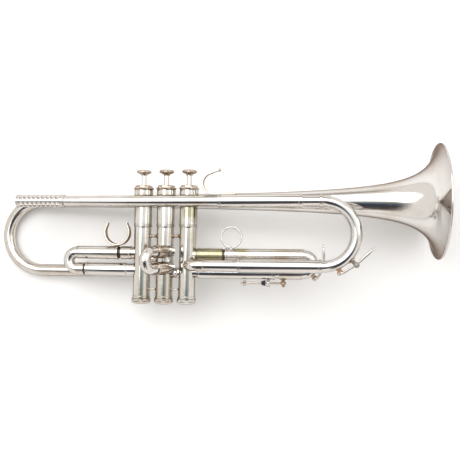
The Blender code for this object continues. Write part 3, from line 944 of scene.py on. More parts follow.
def corner_normals(work: bmesh.types.BMesh, limit: float) -> list[Vector]:
    """Normals at every face corner in which large faces count for more.

    Args:
        work: the shape.
        limit: faces whose normals' product is below this stay apart.

    Returns:
        One normal for each corner, in the order of the faces.
    """
    work.normal_update()
    work.faces.index_update()
    flats = [face.normal.copy() for face in work.faces]
    shares = [face.normal * face.calc_area() for face in work.faces]
    normals = []
    for face, flat in zip(work.faces, flats):
        for vertex in face.verts:
            total = Vector()
            for other in vertex.link_faces:
                if flats[other.index].dot(flat) >= limit:
                    total += shares[other.index]
            normals.append(total.normalized() if total.length_squared else flat)
    return normals


@dataclass
class Workshop:
    """Turns finished shapes into pieces on their bodies.

    Attributes:
        place: the playing frame.
        finishes: the materials.
        made: how many pieces there are so far.
    """

    place: PlayingFrame
    finishes: Finishes
    made: int = 0

    def add(self, name: str, work: bmesh.types.BMesh, body: str, finish: str = "silver",
            replaces: Sequence[str] = (), slot: Slot = Slot.SILVER,
            crease: float = 38.0,
            across: tuple[str, Vector, Vector] | None = None) -> bpy.types.Object:
        """Link a shape as a piece.

        Args:
            name: of the piece.
            work: its shape in the playing frame, in millimetres. It is freed.
            body: the body it rides on.
            finish: the key of its material.
            replaces: the solids that it stands for.
            slot: the record's slot for its finish; not used.
            crease: edges sharper than this many degrees stay sharp.
            across: for a spring, the body at its other end, and where it leaves that body
            and where it joins its own, in row metres. Only whether it is given is read: the
            piece then stays in the row's frame and rides on no body.

        Returns:
            The piece.
        """
        bmesh.ops.transform(work, matrix=self.place.matrix, verts=work.verts)
        normals = corner_normals(work, math.cos(math.radians(crease)))
        mesh = bpy.data.meshes.new(name)
        work.to_mesh(mesh)
        work.free()
        mesh.shade_smooth()
        mesh.normals_split_custom_set(normals)
        mesh.materials.append(self.finishes[finish])
        piece = bpy.data.objects.new(name, mesh)
        bpy.context.scene.collection.objects.link(piece)
        if across:
            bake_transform(piece)
        else:
            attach(piece, body)
        if replaces:
            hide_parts(*replaces)
        self.made += 1
        LOG.info("%s: %d faces on %s", name, len(mesh.polygons), body)
        return piece


def pipe(at: Sequence[float], towards: Sequence[float], outside: Profile, inside: Profile,
         sides: int = 64, rounding: float = 0.18) -> bmesh.types.BMesh:
    """A straight tube with its own steps outside and inside.

    Args:
        at: the middle of its first end.
        towards: the way it runs.
        outside: (distance, radius) steps along the outside.
        inside: the same for the bore.
        sides: steps round it.
        rounding: of its corners.

    Returns:
        The shape.
    """
    profile = [(radius, distance) for distance, radius in reversed(outside)]
    profile += [(radius, distance) for distance, radius in inside]
    return stand(lathe(profile, sides, rounding), at, towards)


def ball(at: Sequence[float], radius: float) -> bmesh.types.BMesh:
    """A small round ball.

    Args:
        at: its middle.
        radius: of the ball.

    Returns:
        The shape.
    """
    work = bmesh.new()
    bmesh.ops.create_uvsphere(work, u_segments=24, v_segments=14, radius=radius)
    bmesh.ops.translate(work, verts=work.verts, vec=Vector(at))
    return work


def grease_and_shade_line(at: Sequence[float], towards: Sequence[float],
                width: float) -> bmesh.types.BMesh:
    """A dark ring where an inner leg goes into an outer one: old grease, and painted shade
    in the gap.

    Args:
        at: its first end.
        towards: the way it runs.
        width: how long it is along the leg.

    Returns:
        The shape.
    """
    return pipe(at, towards, [(0, 6.0), (width, 6.0)], [(0, 5.8), (width, 5.8)],
                rounding=0.02)


def add_knuckle(shop: Workshop, name: str, valve: Valve, start: Sequence[float],
                heading: Sequence[float]) -> None:
    """Join a leg to a casing with a short tube that follows the casing's side.

    Args:
        shop: where the piece is made.
        name: of the piece.
        valve: the valve whose casing it meets.
        start: where the short tube starts in the leg.
        heading: from there to the casing.
    """
    knuckle = Tube.round(start, heading, STUB)
    knuckle.seat(valve.centre(start[2]), 0.0, CASING_SEAT)
    shop.add(name, knuckle.walled(WALL), Body.MAIN.value)


# ---- Bell ----


@dataclass
class Bell:
    """The flare with its rolled rim, the bow behind it and its braces.

    Attributes:
        rim_x: the rim's front.
        rim_radius: its outside radius.
        y: the plane of the bell's axis.
        z: that axis's height.
        flare: how fast it opens at the rim.
        power: how fast it narrows further back.
        wall: its thickness.
        bead: the radius of the rolled rim.
        tail_x: where the flare meets the bow.
        tube_radius: outside radius of the bow.
        bow_radius: the bow's own bend.
        elbow: the bend into the first valve.
        elbow_x: where that bend ends.
        seat_x: the first valve's axis at the elbow's height.
        braces: each brace's name, place, and the radius of the tube at its foot.
    """

    rim_x: float = 289.0
    rim_radius: float = 61.1
    y: float = 18.3
    z: float = 1.0
    flare: float = 10.0
    power: float = 0.62
    wall: float = 0.9
    bead: float = 1.1
    tail_x: float = -145.0
    tube_radius: float = 6.35
    bow_radius: float = 38.6
    elbow: float = 6.7
    elbow_x: float = -26.2
    seat_x: float = -25.6
    braces: tuple[tuple[str, float, float], ...] = (
        ("bell_brace_front", 70.0, OUTER_LEG),
        ("bell_brace_rear", -78.0, 5.8))

    def radius(self, distance: float) -> float:
        """Outside radius at a distance behind the rim."""
        shrink = self.flare / (distance + self.flare)
        return max(self.rim_radius * shrink ** self.power, self.tube_radius)

    def build(self, shop: Workshop) -> None:
        """Model the group's pieces.

        Args:
            shop: takes the pieces.
        """
        self.build_flare(shop)
        self.build_bow(shop)
        for name, x, pipe_side in self.braces:
            self.build_brace(shop, name, x, pipe_side)

    def build_flare(self, shop: Workshop) -> None:
        """Turn the flare from its tail to the rolled rim and back inside.

        Args:
            shop: takes the pieces.
        """
        length = self.rim_x - self.bead - self.tail_x
        steps = 84
        nearest = 0.6
        crowding = 2.4
        far = [nearest + (length - nearest) * (step / steps) ** crowding
               for step in range(steps + 1)]
        outside = [(self.radius(run), -run) for run in reversed(far)]
        lip = self.rim_radius - self.bead
        # The rolled bead runs from 60 degrees behind its outermost line, over the front.
        rim = [(lip + self.bead * math.cos(angle), self.bead * math.sin(angle))
               for angle in (math.radians(-60 + 24 * step) for step in range(11))]
        inside = [(self.radius(run) - self.wall, -run) for run in far]
        work = lathe(outside + rim + inside, 160)
        stand(work, (self.rim_x - self.bead, self.y, self.z), (1, 0, 0))
        shop.add("bell_flare", work, Body.MAIN.value, "bell", replaces=("bell",))

    def build_bow(self, shop: Workshop) -> None:
        """Draw the bow back and round, and into the first valve's side.

        Args:
            shop: takes the pieces.
        """
        tube = Tube.round((self.tail_x + 0.2, self.y, self.z), (-1, 0, 0), self.tube_radius)
        tube.straight(1.2).bend(self.bow_radius, 180, (0, 0, -1), 48)
        tube.straight(self.elbow_x - self.elbow - tube.at.x)
        tube.bend(self.elbow, 90, (0, -1, 0), 16).seat(self.seat_x, 0.0, CASING_SEAT)
        shop.add("bell_bow_tube", tube.walled(WALL), Body.MAIN.value,
                 replaces=("bell_bow",))
        band = pipe((self.tail_x - 1.6, self.y, self.z), (1, 0, 0),
                    [(0, 6.7), (0.8, 7.05), (9.2, 7.05), (10.0, 6.75)],
                    [(0, 6.2), (10.0, 6.2)])
        shop.add("bell_bow_ferrule", band, Body.MAIN.value, "bright")

    def build_brace(self, shop: Workshop, name: str, x: float, pipe_side: float) -> None:
        """Turn a brace with a foot at each end, from the leadpipe to the bell.

        Args:
            shop: takes the pieces.
            name: the solid that it stands for.
            x: its place along the bell.
            pipe_side: outside radius of the tube at its foot.
        """
        sunk = 0.4
        start = LEADPIPE_Y + pipe_side - sunk
        end = self.y - self.radius(self.rim_x - x) + sunk
        length = end - start
        half = [(0.0, 5.2), (0.9, 5.2), (1.5, 4.2), (2.2, 2.4), (3.2, 1.7)]
        outside = half + [(length / 2 - 0.9, 1.7), (length / 2 - 0.6, 2.3),
                          (length / 2 + 0.6, 2.3), (length / 2 + 0.9, 1.7)]
        outside += [(length - run, radius) for run, radius in reversed(half)]
        profile = [(radius, run) for run, radius in outside]
        work = lathe([(0, 0)] + profile + [(0, length)], 48, 0.25)
        stand(work, (x, start, 0.5), (0, 1, 0))
        shop.add(name + "_post", work, Body.MAIN.value, replaces=(name,))


# ---- Leadpipe ----


@dataclass
class Leadpipe:
    """The embossed receiver, leadpipe, outer leg, fixed lower leg and finger hook.

    Attributes:
        y: the plane that they lie in.
        receiver_x: the receiver's open end.
        pipe_start: how far inside the receiver the leadpipe starts.
        sleeve_x: where the upper outer leg starts.
        sleeve_length: its length.
        lower_end_x: the fixed lower leg's free end.
        elbow_x: where its bend into the third valve starts.
        elbow: that bend's radius.
        seat_x: the third valve's axis at the bend's height.
        lower_z: the lower leg's height.
    """

    y: float = LEADPIPE_Y
    receiver_x: float = -158.5
    pipe_start: float = 27.3
    sleeve_x: float = 59.5
    sleeve_length: float = 86.5
    lower_end_x: float = 148.0
    elbow_x: float = 34.8
    elbow: float = 6.7
    seat_x: float = 24.2
    lower_z: float = LOWER_LEG_Z

    def build(self, shop: Workshop) -> None:
        """Model the group's pieces.

        Args:
            shop: takes the pieces.
        """
        self.build_receiver(shop)
        start = self.receiver_x + self.pipe_start
        length = self.sleeve_x - start + 4.0
        work = pipe((start, self.y, 0), (1, 0, 0), [(0, 5.6), (length, INNER_LEG)],
                    [(0, 4.6), (length, AIR_BORE)])
        shop.add("leadpipe_tube", work, Body.MAIN.value, replaces=("leadpipe",))
        self.build_sleeve(shop)
        tube = Tube.round((self.lower_end_x, self.y, self.lower_z), (-1, 0, 0), INNER_LEG)
        tube.straight(self.lower_end_x - self.elbow_x)
        tube.bend(self.elbow, 90, (0, 1, 0), 16).seat(self.seat_x, 0.0, CASING_SEAT)
        shop.add("tuning_lower_leg", tube.walled(WALL), Body.MAIN.value, "bright",
                 replaces=("tuning_lower_tube",))
        band = pipe((36.0, self.y, self.lower_z), (1, 0, 0),
                    [(0, 6.2), (0.5, 6.75), (8.0, 6.75), (8.6, 6.2)],
                    [(0, 5.8), (8.6, 5.8)])
        shop.add("lower_leg_ferrule", band, Body.MAIN.value)
        self.build_hook(shop)

    def build_receiver(self, shop: Workshop) -> None:
        """Turn the receiver and press its pattern into it.

        Args:
            shop: takes the pieces.
        """
        outside: list[tuple[float, float]] = [(0, 6.3), (0.4, 7.0), (1.6, 7.0), (1.8, 6.5)]
        outside += [(2.3, 6.5), (2.5, 6.9), (3.2, 6.9), (3.4, 6.5)]
        for column in range(9):
            left = 4.4 + column * 5.0
            outside += [(left, 6.45), (left + 3.4, 6.45), (left + 3.6, 6.8),
                        (left + 4.2, 6.95), (left + 4.8, 6.8)]
        outside += [(49.6, 6.5), (49.8, 6.9), (50.5, 6.9), (50.7, 6.5), (51.2, 6.5),
                    (51.4, 7.0), (52.4, 7.0), (53.0, 6.1)]
        profile = [(radius, run) for run, radius in reversed(outside)]
        work = lathe(profile + [(5.5, 0), (4.9, 27.0), (5.95, 27.0), (5.95, 53.0)], 28)
        # The pattern's panels are the large outside faces between the end rings.
        middles = {face: face.calc_center_median() for face in work.faces}
        panels = [face for face, middle in middles.items()
                  if 4.0 < middle.z < 49.3
                  and math.hypot(middle.x, middle.y) > 6.2
                  and face.calc_area() > 3.0]
        bmesh.ops.inset_individual(work, faces=panels, thickness=0.14, depth=0.12)
        bmesh.ops.inset_individual(work, faces=panels, thickness=0.16, depth=-0.45)
        stand(work, (self.receiver_x, self.y, 0), (1, 0, 0))
        shop.add("receiver_sleeve", work, Body.MAIN.value, "bright",
                 replaces=("mouthpiece_receiver",), crease=24.0)

    def build_sleeve(self, shop: Workshop) -> None:
        """Turn the upper outer leg with its beads.

        Args:
            shop: takes the pieces.
        """
        end = self.sleeve_length
        outside = [(0, 6.6), (0.3, BEAD), (1.9, BEAD), (2.2, 6.7), (2.9, 6.7),
                   (3.0, OUTER_LEG), (end - 3.8, OUTER_LEG), (end - 3.7, 6.7),
                   (end - 3.0, 6.7), (end - 2.8, BEAD), (end - 0.3, BEAD), (end, 6.9)]
        work = pipe((self.sleeve_x, self.y, 0), (1, 0, 0), outside,
                    [(0, 5.6), (2.0, SLIDE_BORE), (end, SLIDE_BORE)])
        shop.add("tuning_upper_outer_leg", work, Body.MAIN.value, "bright",
                 replaces=("tuning_upper_sleeve",))

    def build_hook(self, shop: Workshop) -> None:
        """Draw the little-finger hook, with its long foot and the ball at its tip.

        Args:
            shop: takes the pieces.
        """
        middle = 7.3
        strap = Tube.flat((78.4, self.y, middle), (-1, 0, 0), (0, 1, 0), 5.6, 1.8)
        strap.straight(4.0).straight(20.0)
        strap.bend(10.9, 161, (0, 0, 1), 40).straight(5.0, 0.93).straight(5.6, 0.82)
        tip = strap.at.copy()
        shop.add("little_finger_hook", merged([strap.capped(), ball(tip, 1.7)]),
                 Body.MAIN.value, "worn", replaces=("finger_hook",))
        foot = rod((61.5, self.y, middle), (78.0, self.y, middle), 1.6, 24, 0.7)
        bmesh.ops.scale(foot, vec=(1.0, 1.9, 0.75),
                        space=Matrix.Translation((0, -self.y, -middle)),
                        verts=foot.verts)
        shop.add("hook_foot", foot, Body.MAIN.value)


@dataclass
class TuningSlide:
    """The moving crook with its ferrule and the lower outer leg.

    Attributes:
        y: the plane that they lie in.
        start_x: the crook's upper end, inside the outer leg.
        bend_x: where its bend starts.
        sleeve_x: the lower outer leg's mouth.
        lower_z: the lower leg's height.
    """

    y: float = LEADPIPE_Y
    start_x: float = 85.0
    bend_x: float = 167.0
    sleeve_x: float = 79.8
    lower_z: float = LOWER_LEG_Z

    def build(self, shop: Workshop) -> None:
        """Model the group's pieces.

        Args:
            shop: takes the pieces.
        """
        tube = Tube.round((self.start_x, self.y, 0.0), (1, 0, 0), INNER_LEG)
        tube.straight(self.bend_x - self.start_x)
        tube.bend(-self.lower_z / 2, 180, (0, 0, -1), 64)
        tube.straight(1.2)
        shop.add("tuning_slide_crook", tube.walled(WALL), Body.TUNING.value, "bright",
                 replaces=("tuning_crook",))
        ferrule = pipe((163.6, self.y, 0), (1, 0, 0),
                       [(0, 6.5), (0.3, 7.2), (2.3, 7.2), (2.6, 6.75), (3.4, 6.75),
                        (3.8, 6.3)], [(0, BAND_BORE), (3.8, BAND_BORE)])
        shop.add("tuning_crook_ferrule", ferrule, Body.TUNING.value)
        length = self.bend_x - 1.0 - self.sleeve_x
        outside = [(0, 6.9), (0.3, BEAD), (2.2, BEAD), (2.4, 6.7), (3.2, 6.7),
                   (3.3, OUTER_LEG), (length - 3.8, OUTER_LEG), (length - 3.7, 6.7),
                   (length - 3.0, 6.7), (length - 2.8, 7.25), (length - 0.3, 7.25),
                   (length, 6.4)]
        work = pipe((self.sleeve_x, self.y, self.lower_z), (1, 0, 0), outside,
                    [(0, SLIDE_BORE), (length - 0.7, SLIDE_BORE),
                     (length - 0.6, BAND_BORE), (length, BAND_BORE)])
        shop.add("tuning_lower_outer_leg", work, Body.TUNING.value, "bright",
                 replaces=("tuning_lower_sleeve",))


# ---- Water keys ----


@dataclass
class WaterKey:
    """A water key on a crook: saddle, pin, spring, lever with its cup, and cork.

    Attributes:
        prefix: what its pieces' names start with.
        slide: the body that its saddle is on.
        key: the body of its lever.
        y: the plane of the crook.
        centre: of the crook's bend, in x and z.
        surface: the outside radius of the bend.
        cork_angle: where the cork is round the bend, in degrees.
        pivot_angle: and where the pin is.
        tip: the lever's thumb end, in x and z.
        pin_height: how far the pin is off the tube.
    """

    prefix: str
    slide: Body
    key: Body
    y: float
    centre: tuple[float, float]
    surface: float
    cork_angle: float
    pivot_angle: float
    tip: tuple[float, float]
    pin_height: float = 6.4

    def around(self, angle: float, radius: float) -> Vector:
        """The place at an angle and a distance round the bend's centre."""
        turn = math.radians(angle)
        return Vector((self.centre[0] + radius * math.cos(turn), self.y,
                       self.centre[1] + radius * math.sin(turn)))

    def outward(self, angle: float) -> Vector:
        """The direction away from the bend's centre at an angle."""
        return self.around(angle, 1.0) - self.around(angle, 0.0)

    def build(self, shop: Workshop) -> None:
        """Model the group's pieces.

        Args:
            shop: takes the pieces.
        """
        pivot = self.around(self.pivot_angle, self.surface + self.pin_height)
        self.build_saddle(shop, pivot)
        self.build_lever(shop, pivot)
        self.build_cork(shop)
        self.build_spring(shop, pivot)

    def build_saddle(self, shop: Workshop, pivot: Vector) -> None:
        """Fold the saddle over the tube, with two drilled lugs, and add the pin.

        Args:
            shop: takes the pieces.
            pivot: the pin's middle.
        """
        foot = self.around(self.pivot_angle, self.surface + 0.1)
        outward = (pivot - foot).normalized()
        parts = []
        for side in (-1.0, 1.0):
            lug = lathe([(1.1, -0.55), (2.5, -0.55), (2.5, 0.55), (1.1, 0.55)], 40, 0.15)
            stand(lug, pivot + Vector((0, 3.5 * side, 0)), (0, 1, 0))
            parts.append(lug)
            web = Tube.flat(foot + Vector((0, 3.5 * side, 0)), outward,
                            outward.cross(Vector((0, 1, 0))), 4.6, 1.05)
            web.straight(4.4, 0.85)
            parts.append(web.capped())
        base = lathe([(0, -0.9), (4.4, -0.9), (4.1, 0.5), (0, 0.9)], 48, 0.3)
        stand(base, foot, outward)
        parts.append(base)
        shop.add(self.prefix + "_saddle", merged(parts), self.slide.value, "worn",
                 replaces=(self.prefix + "_key_saddle",))
        pin = rod(pivot - Vector((0, 4.6, 0)), pivot + Vector((0, 4.6, 0)), 0.8, 24, 0.2)
        head = rod(pivot - Vector((0, 5.0, 0)), pivot - Vector((0, 4.1, 0)), 1.5, 24, 0.3)
        shop.add(self.prefix + "_hinge_pin", merged([pin, head]), self.slide.value,
                 "steel", replaces=(self.prefix + "_key_pin",), slot=Slot.STEEL)

    def build_lever(self, shop: Workshop, pivot: Vector) -> None:
        """Draw the lever from its cup over the barrel to the thumb end.

        Args:
            shop: takes the pieces.
            pivot: the pin's middle.
        """
        axis = self.outward(self.cork_angle)
        base = self.around(self.cork_angle, self.surface + 3.7)
        cup = lathe([(0, 0.9), (2.7, 0.9), (2.7, -0.9), (3.3, -0.9), (3.35, 1.6),
                     (2.4, 2.3), (0, 2.4)], 48, 0.12)
        stand(cup, base, axis)
        crown = base + axis * 1.6
        first = pivot - crown
        arm = Tube.flat(crown, first, (0, 1, 0), 4.4, 2.2)
        arm.straight(first.length * 0.5, 0.86).straight(first.length * 0.5, 1.1)
        barrel = lathe([(1.15, -2.6), (2.2, -2.6), (2.2, 2.6), (1.15, 2.6)], 40, 0.25)
        stand(barrel, pivot, (0, 1, 0))
        tip = Vector((self.tip[0], self.y, self.tip[1]))
        second = tip - pivot
        reach = Tube.flat(pivot + second.normalized() * 1.2, second, (0, 1, 0), 3.4, 2.1)
        length = second.length - 1.2
        reach.straight(length * 0.45, 1.15).straight(length * 0.35, 1.15)
        reach.straight(length * 0.2, 0.8)
        end = lathe([(0, -0.7), (2.3, -0.7), (2.6, 0.0), (2.3, 0.7), (0, 0.7)], 32, 0.3)
        stand(end, tip, second.normalized().cross(Vector((0, 1, 0))))
        shape = merged([cup, arm.capped(), barrel, reach.capped(), end])
        shop.add(self.prefix + "_lever", shape, self.key.value, "silver",
                 replaces=(self.prefix + "_key_lever",))

    def build_cork(self, shop: Workshop) -> None:
        """Turn the cork in its cup and the nipple that it shuts.

        Args:
            shop: takes the pieces.
        """
        axis = self.outward(self.cork_angle)
        cork = lathe([(0, 1.6), (2.55, 1.6), (2.8, 2.0), (2.65, 4.5), (0, 4.5)], 40, 0.2)
        stand(cork, self.around(self.cork_angle, self.surface), axis)
        shop.add(self.prefix + "_cork_pad", cork, self.key.value, "cork",
                 replaces=(self.prefix + "_key_cork",), slot=Slot.CORK)
        nipple = lathe([(1.4, -1.2), (3.2, -1.2), (2.5, 0.4), (2.1, 1.5), (1.4, 1.5)], 40,
                       0.12)
        stand(nipple, self.around(self.cork_angle, self.surface), axis)
        shop.add(self.prefix + "_nipple", nipple, self.slide.value, "worn")

    def build_spring(self, shop: Workshop, pivot: Vector) -> None:
        """Wind the wire spring round the pin, on both sides of the barrel.

        Args:
            shop: takes the pieces.
            pivot: the pin's middle.
        """
        coils = []
        for side in (-1.0, 1.0):
            wire = Tube.round(pivot + Vector((2.75, 2.75 * side, 0)), (0, 0, 1), 0.22, 10)
            wire.coil(pivot, (0, 1, 0), (0, -0.026 * side, 0), 2.2, 52)
            coils.append(wire.capped())
        shop.add(self.prefix + "_key_spring", merged(coils), self.slide.value, "steel",
                 slot=Slot.STEEL)


# ---- Valves ----


@dataclass
class Valve:
    """One valve: casing and caps that stay, and the stem and button that move.

    Attributes:
        number: 1 to 3, from the player's end.
        top: the casing's upper end.
        foot: its lower end.
        spring_foot: where the spring stands in the casing.
        spring_top: where it meets the stem's collar.
    """

    number: int
    top: float = 12.4
    foot: float = -103.4
    spring_foot: float = -28.7
    spring_top: float = 9.5

    @property
    def body(self) -> str:
        """The moving body of this valve."""
        return f"valve_{self.number}"

    def centre(self, z: float) -> float:
        """x of the canted axis at a height."""
        return (self.number - 2) * PITCH + math.sin(math.radians(CANT)) * (z - CANT_HEIGHT)

    def set_up(self, work: bmesh.types.BMesh) -> bmesh.types.BMesh:
        """Stand a shape made about +Z on the valve's canted axis."""
        lean = math.radians(CANT)
        return stand(work, (self.centre(0.0), 0, 0), (math.sin(lean), 0, math.cos(lean)))

    def build(self, shop: Workshop) -> None:
        """Model the group's pieces.

        Args:
            shop: takes the pieces.
        """
        name = self.body
        shop.add(name + "_case", self.set_up(self.casing()), Body.MAIN.value, "casing",
                 replaces=(name + "_casing",))
        shop.add(name + "_top", self.set_up(self.top_cap()), Body.MAIN.value, "worn",
                 replaces=(name + "_top_cap",), crease=24.0)
        shop.add(name + "_bottom", self.set_up(self.bottom_cap()), Body.MAIN.value,
                 "silver", replaces=(name + "_bottom_cap",), crease=24.0)
        stem = lathe([(0, 28.4), (2.7, 28.4), (2.7, 12.2), (6.4, 12.2), (6.4, 10.2),
                      (2.7, 10.2), (2.7, -32.7), (0, -32.7)], 48, 0.15)
        shop.add(name + "_stem_rod", self.set_up(stem), name, "bright",
                 replaces=(name + "_stem",))
        shop.add(name + "_finger_button", self.set_up(self.button()), name, "worn",
                 replaces=(name + "_button",))
        inlay = lathe([(0, 34.35), (3.2, 34.25), (5.2, 33.95), (5.9, 33.6), (5.9, 33.3),
                       (0, 33.3)], 56, 0.1)
        shop.add(name + "_inlay", self.set_up(inlay), name, "pearl")
        low, high = self.spring_foot, self.spring_top
        shop.add(name + "_coil", self.set_up(self.spring(low, high)), name, "steel",
                 replaces=(name + "_spring",), slot=Slot.STEEL,
                 across=(Body.MAIN.value, shop.place.point(self.centre(low), 0, low),
                         shop.place.point(self.centre(high), 0, high)))

    def casing(self) -> bmesh.types.BMesh:
        """The casing with its joint ring and the threads' relief at each end.

        Returns:
            The casing, about +Z.
        """
        return lathe([(9.9, self.top), (9.9, 7.3), (9.7, 6.9), (9.5, 6.2), (9.35, 5.6),
                      (9.35, -23.9), (9.1, -24.1), (9.1, -24.5), (9.75, -24.6),
                      (9.75, -25.3), (9.3, -25.4), (9.3, -25.8), (10.0, -25.9),
                      (10.0, -26.6), (9.0, -27.0), (8.9, -28.0), (8.9, -100.6),
                      (8.7, -100.8), (8.7, -101.2), (9.2, -101.4), (9.2, self.foot),
                      (8.05, self.foot), (8.05, -31.4), (3.6, -31.4), (3.6, -29.4),
                      (8.05, -29.4), (8.05, self.top)], 96, 0.1)

    @staticmethod
    def spring(low: float, high: float, turns: int = 9) -> bmesh.types.BMesh:
        """Wind the valve spring between two heights.

        Args:
            low: its foot's height.
            high: its top's height.
            turns: how many.

        Returns:
            The spring, about +Z.
        """
        steps = turns * 24
        wire = Tube.round((5.4, 0, low), (0, 1, 0), 0.42, 10)
        wire.coil((0, 0, 0), (0, 0, 1), (0, 0, (high - low) / steps), turns, steps)
        return wire.capped()

    @staticmethod
    def top_cap() -> bmesh.types.BMesh:
        """The top cap: grooved crown over a thin knurled brim over a skirt.

        Returns:
            The cap, about +Z.
        """
        work = lathe([(5.0, 17.5), (5.2, 17.25), (5.6, 17.25), (5.8, 17.5), (8.0, 17.5),
                      (9.0, 16.9), (9.3, 15.0), (9.7, 14.8), (10.7, 14.75),
                      (10.9, 14.5), (10.9, 13.9), (10.7, 13.65), (10.2, 13.6),
                      (10.0, 12.7), (3.4, 12.7), (3.4, 17.1), (3.8, 17.5)], 120, 0.1)
        knurl(work, 10.6, 13.6, 14.8, 0.28)
        return work

    @staticmethod
    def bottom_cap() -> bmesh.types.BMesh:
        """The bottom cap: knurled band over a stepped, dished foot with a vent.

        Returns:
            The cap, about +Z.
        """
        work = lathe([(9.9, -103.7), (10.2, -104.0), (10.2, -105.0), (9.9, -105.2),
                      (9.9, -105.5), (10.2, -105.7), (10.2, -107.0), (9.6, -108.0),
                      (8.6, -109.0), (7.2, -109.6), (5.0, -109.8), (4.4, -109.3),
                      (1.4, -109.1), (1.4, -103.7)], 120, 0.12)
        knurl(work, 10.0, -107.1, -105.6, 0.24)
        return work

    @staticmethod
    def button() -> bmesh.types.BMesh:
        """The finger button: a collar under a wide rolled edge, dished for the inlay."""
        return lathe([(0, 33.2), (6.0, 33.2), (6.0, 33.9), (6.3, 34.1), (6.8, 33.9),
                      (7.6, 33.1), (8.15, 32.3), (8.15, 31.8), (7.7, 31.2), (6.4, 30.5),
                      (4.9, 29.9), (3.9, 29.3), (3.3, 28.8), (3.1, 28.2), (3.1, 27.7),
                      (0, 27.7)], 72, 0.12)


@dataclass
class ValveBlock:
    """The three valves, and the links, stays and thin rods between them.

    Attributes:
        links: each gap's name and the height of the link in it.
        stay_z: the stays' height.
        rod_z: the thin rods' height.
        reach: how far a stay ends from the axis of a valve, in its casing's wall.
    """

    links: tuple[tuple[str, float], ...] = (("12", -62.0), ("23", -76.0))
    stay_z: float = -37.0
    rod_z: float = -94.0
    reach: float = 8.7

    def build(self, shop: Workshop) -> None:
        """Model the group's pieces.

        Args:
            shop: takes the pieces.
        """
        valves = [Valve(number) for number in (1, 2, 3)]
        for valve in valves:
            valve.build(shop)
        for left, (label, height) in zip(valves, self.links):
            middle = left.centre(height) + PITCH / 2
            link = pipe((middle - 4.6, 0, height), (1, 0, 0), [(0, 5.6), (9.2, 5.6)],
                        [(0, 4.8), (9.2, 4.8)])
            shop.add(f"casing_{label}_link", link, Body.MAIN.value,
                     replaces=(f"casing_link_{label}",))
            self.build_stay(shop, label, left)
            self.build_rod(shop, label, left)
        _, height = self.links[1]
        knuckle = ball((valves[1].centre(height) + PITCH / 2 + 0.4, -4.4, height), 3.6)
        shop.add("link_ball", knuckle, Body.MAIN.value, "bright")

    @staticmethod
    def crossbar(left: Valve, z: float, arm: Profile, sides: int,
                 rounding: float) -> bmesh.types.BMesh:
        """Turn a solid bar that lies midway between two valves.

        Args:
            left: the valve on its left.
            z: its height.
            arm: (distance, radius) steps from its right end to its left one.
            sides: steps round it.
            rounding: of its corners.

        Returns:
            The bar.
        """
        profile = [(radius, run) for run, radius in arm]
        work = lathe([(0, arm[0][0])] + profile + [(0, arm[-1][0])], sides, rounding)
        return stand(work, (left.centre(z) + PITCH / 2, 0, z), (1, 0, 0))

    def build_stay(self, shop: Workshop, label: str, left: Valve) -> None:
        """Turn a stay that is waisted like an hourglass, with a bead at its middle.

        Args:
            shop: takes the pieces.
            label: the gap's name.
            left: the valve on its left.
        """
        half = PITCH / 2 - self.reach
        arm = [(half, 3.1), (half - 0.7, 2.6), (half - 1.6, 1.5), (0.9, 1.15),
               (0.7, 1.75), (-0.7, 1.75), (-0.9, 1.15), (1.6 - half, 1.5),
               (0.7 - half, 2.6), (-half, 3.1)]
        work = self.crossbar(left, self.stay_z, arm, 40, 0.12)
        shop.add(f"casing_{label}_stay", work, Body.MAIN.value, "worn",
                 replaces=(f"casing_stay_{label}",))

    def build_rod(self, shop: Workshop, label: str, left: Valve) -> None:
        """Turn the thin low rod between two casings, with flared feet.

        Args:
            shop: takes the pieces.
            label: the gap's name.
            left: the valve on its left.
        """
        half = PITCH / 2 - self.reach
        arm = [(half, 2.1), (half - 0.8, 1.3), (half - 1.6, 0.85), (1.6 - half, 0.85),
               (0.8 - half, 1.3), (-half, 2.1)]
        work = self.crossbar(left, self.rod_z, arm, 32, 0.1)
        shop.add(f"casing_{label}_rod", work, Body.MAIN.value)


# ---- Valve slides ----


def outer_leg(length: float, mouth: float = 2.2) -> Profile:
    """(distance, radius) steps of an outer slide leg with a beaded mouth.

    Args:
        length: of the leg.
        mouth: the width of the bead at its mouth.

    Returns:
        The steps from the mouth on.
    """
    return [(0, 6.9), (0.3, BEAD), (mouth - 0.3, BEAD), (mouth, 6.7), (mouth + 0.6, 6.7),
            (mouth + 0.7, OUTER_LEG), (length, OUTER_LEG)]


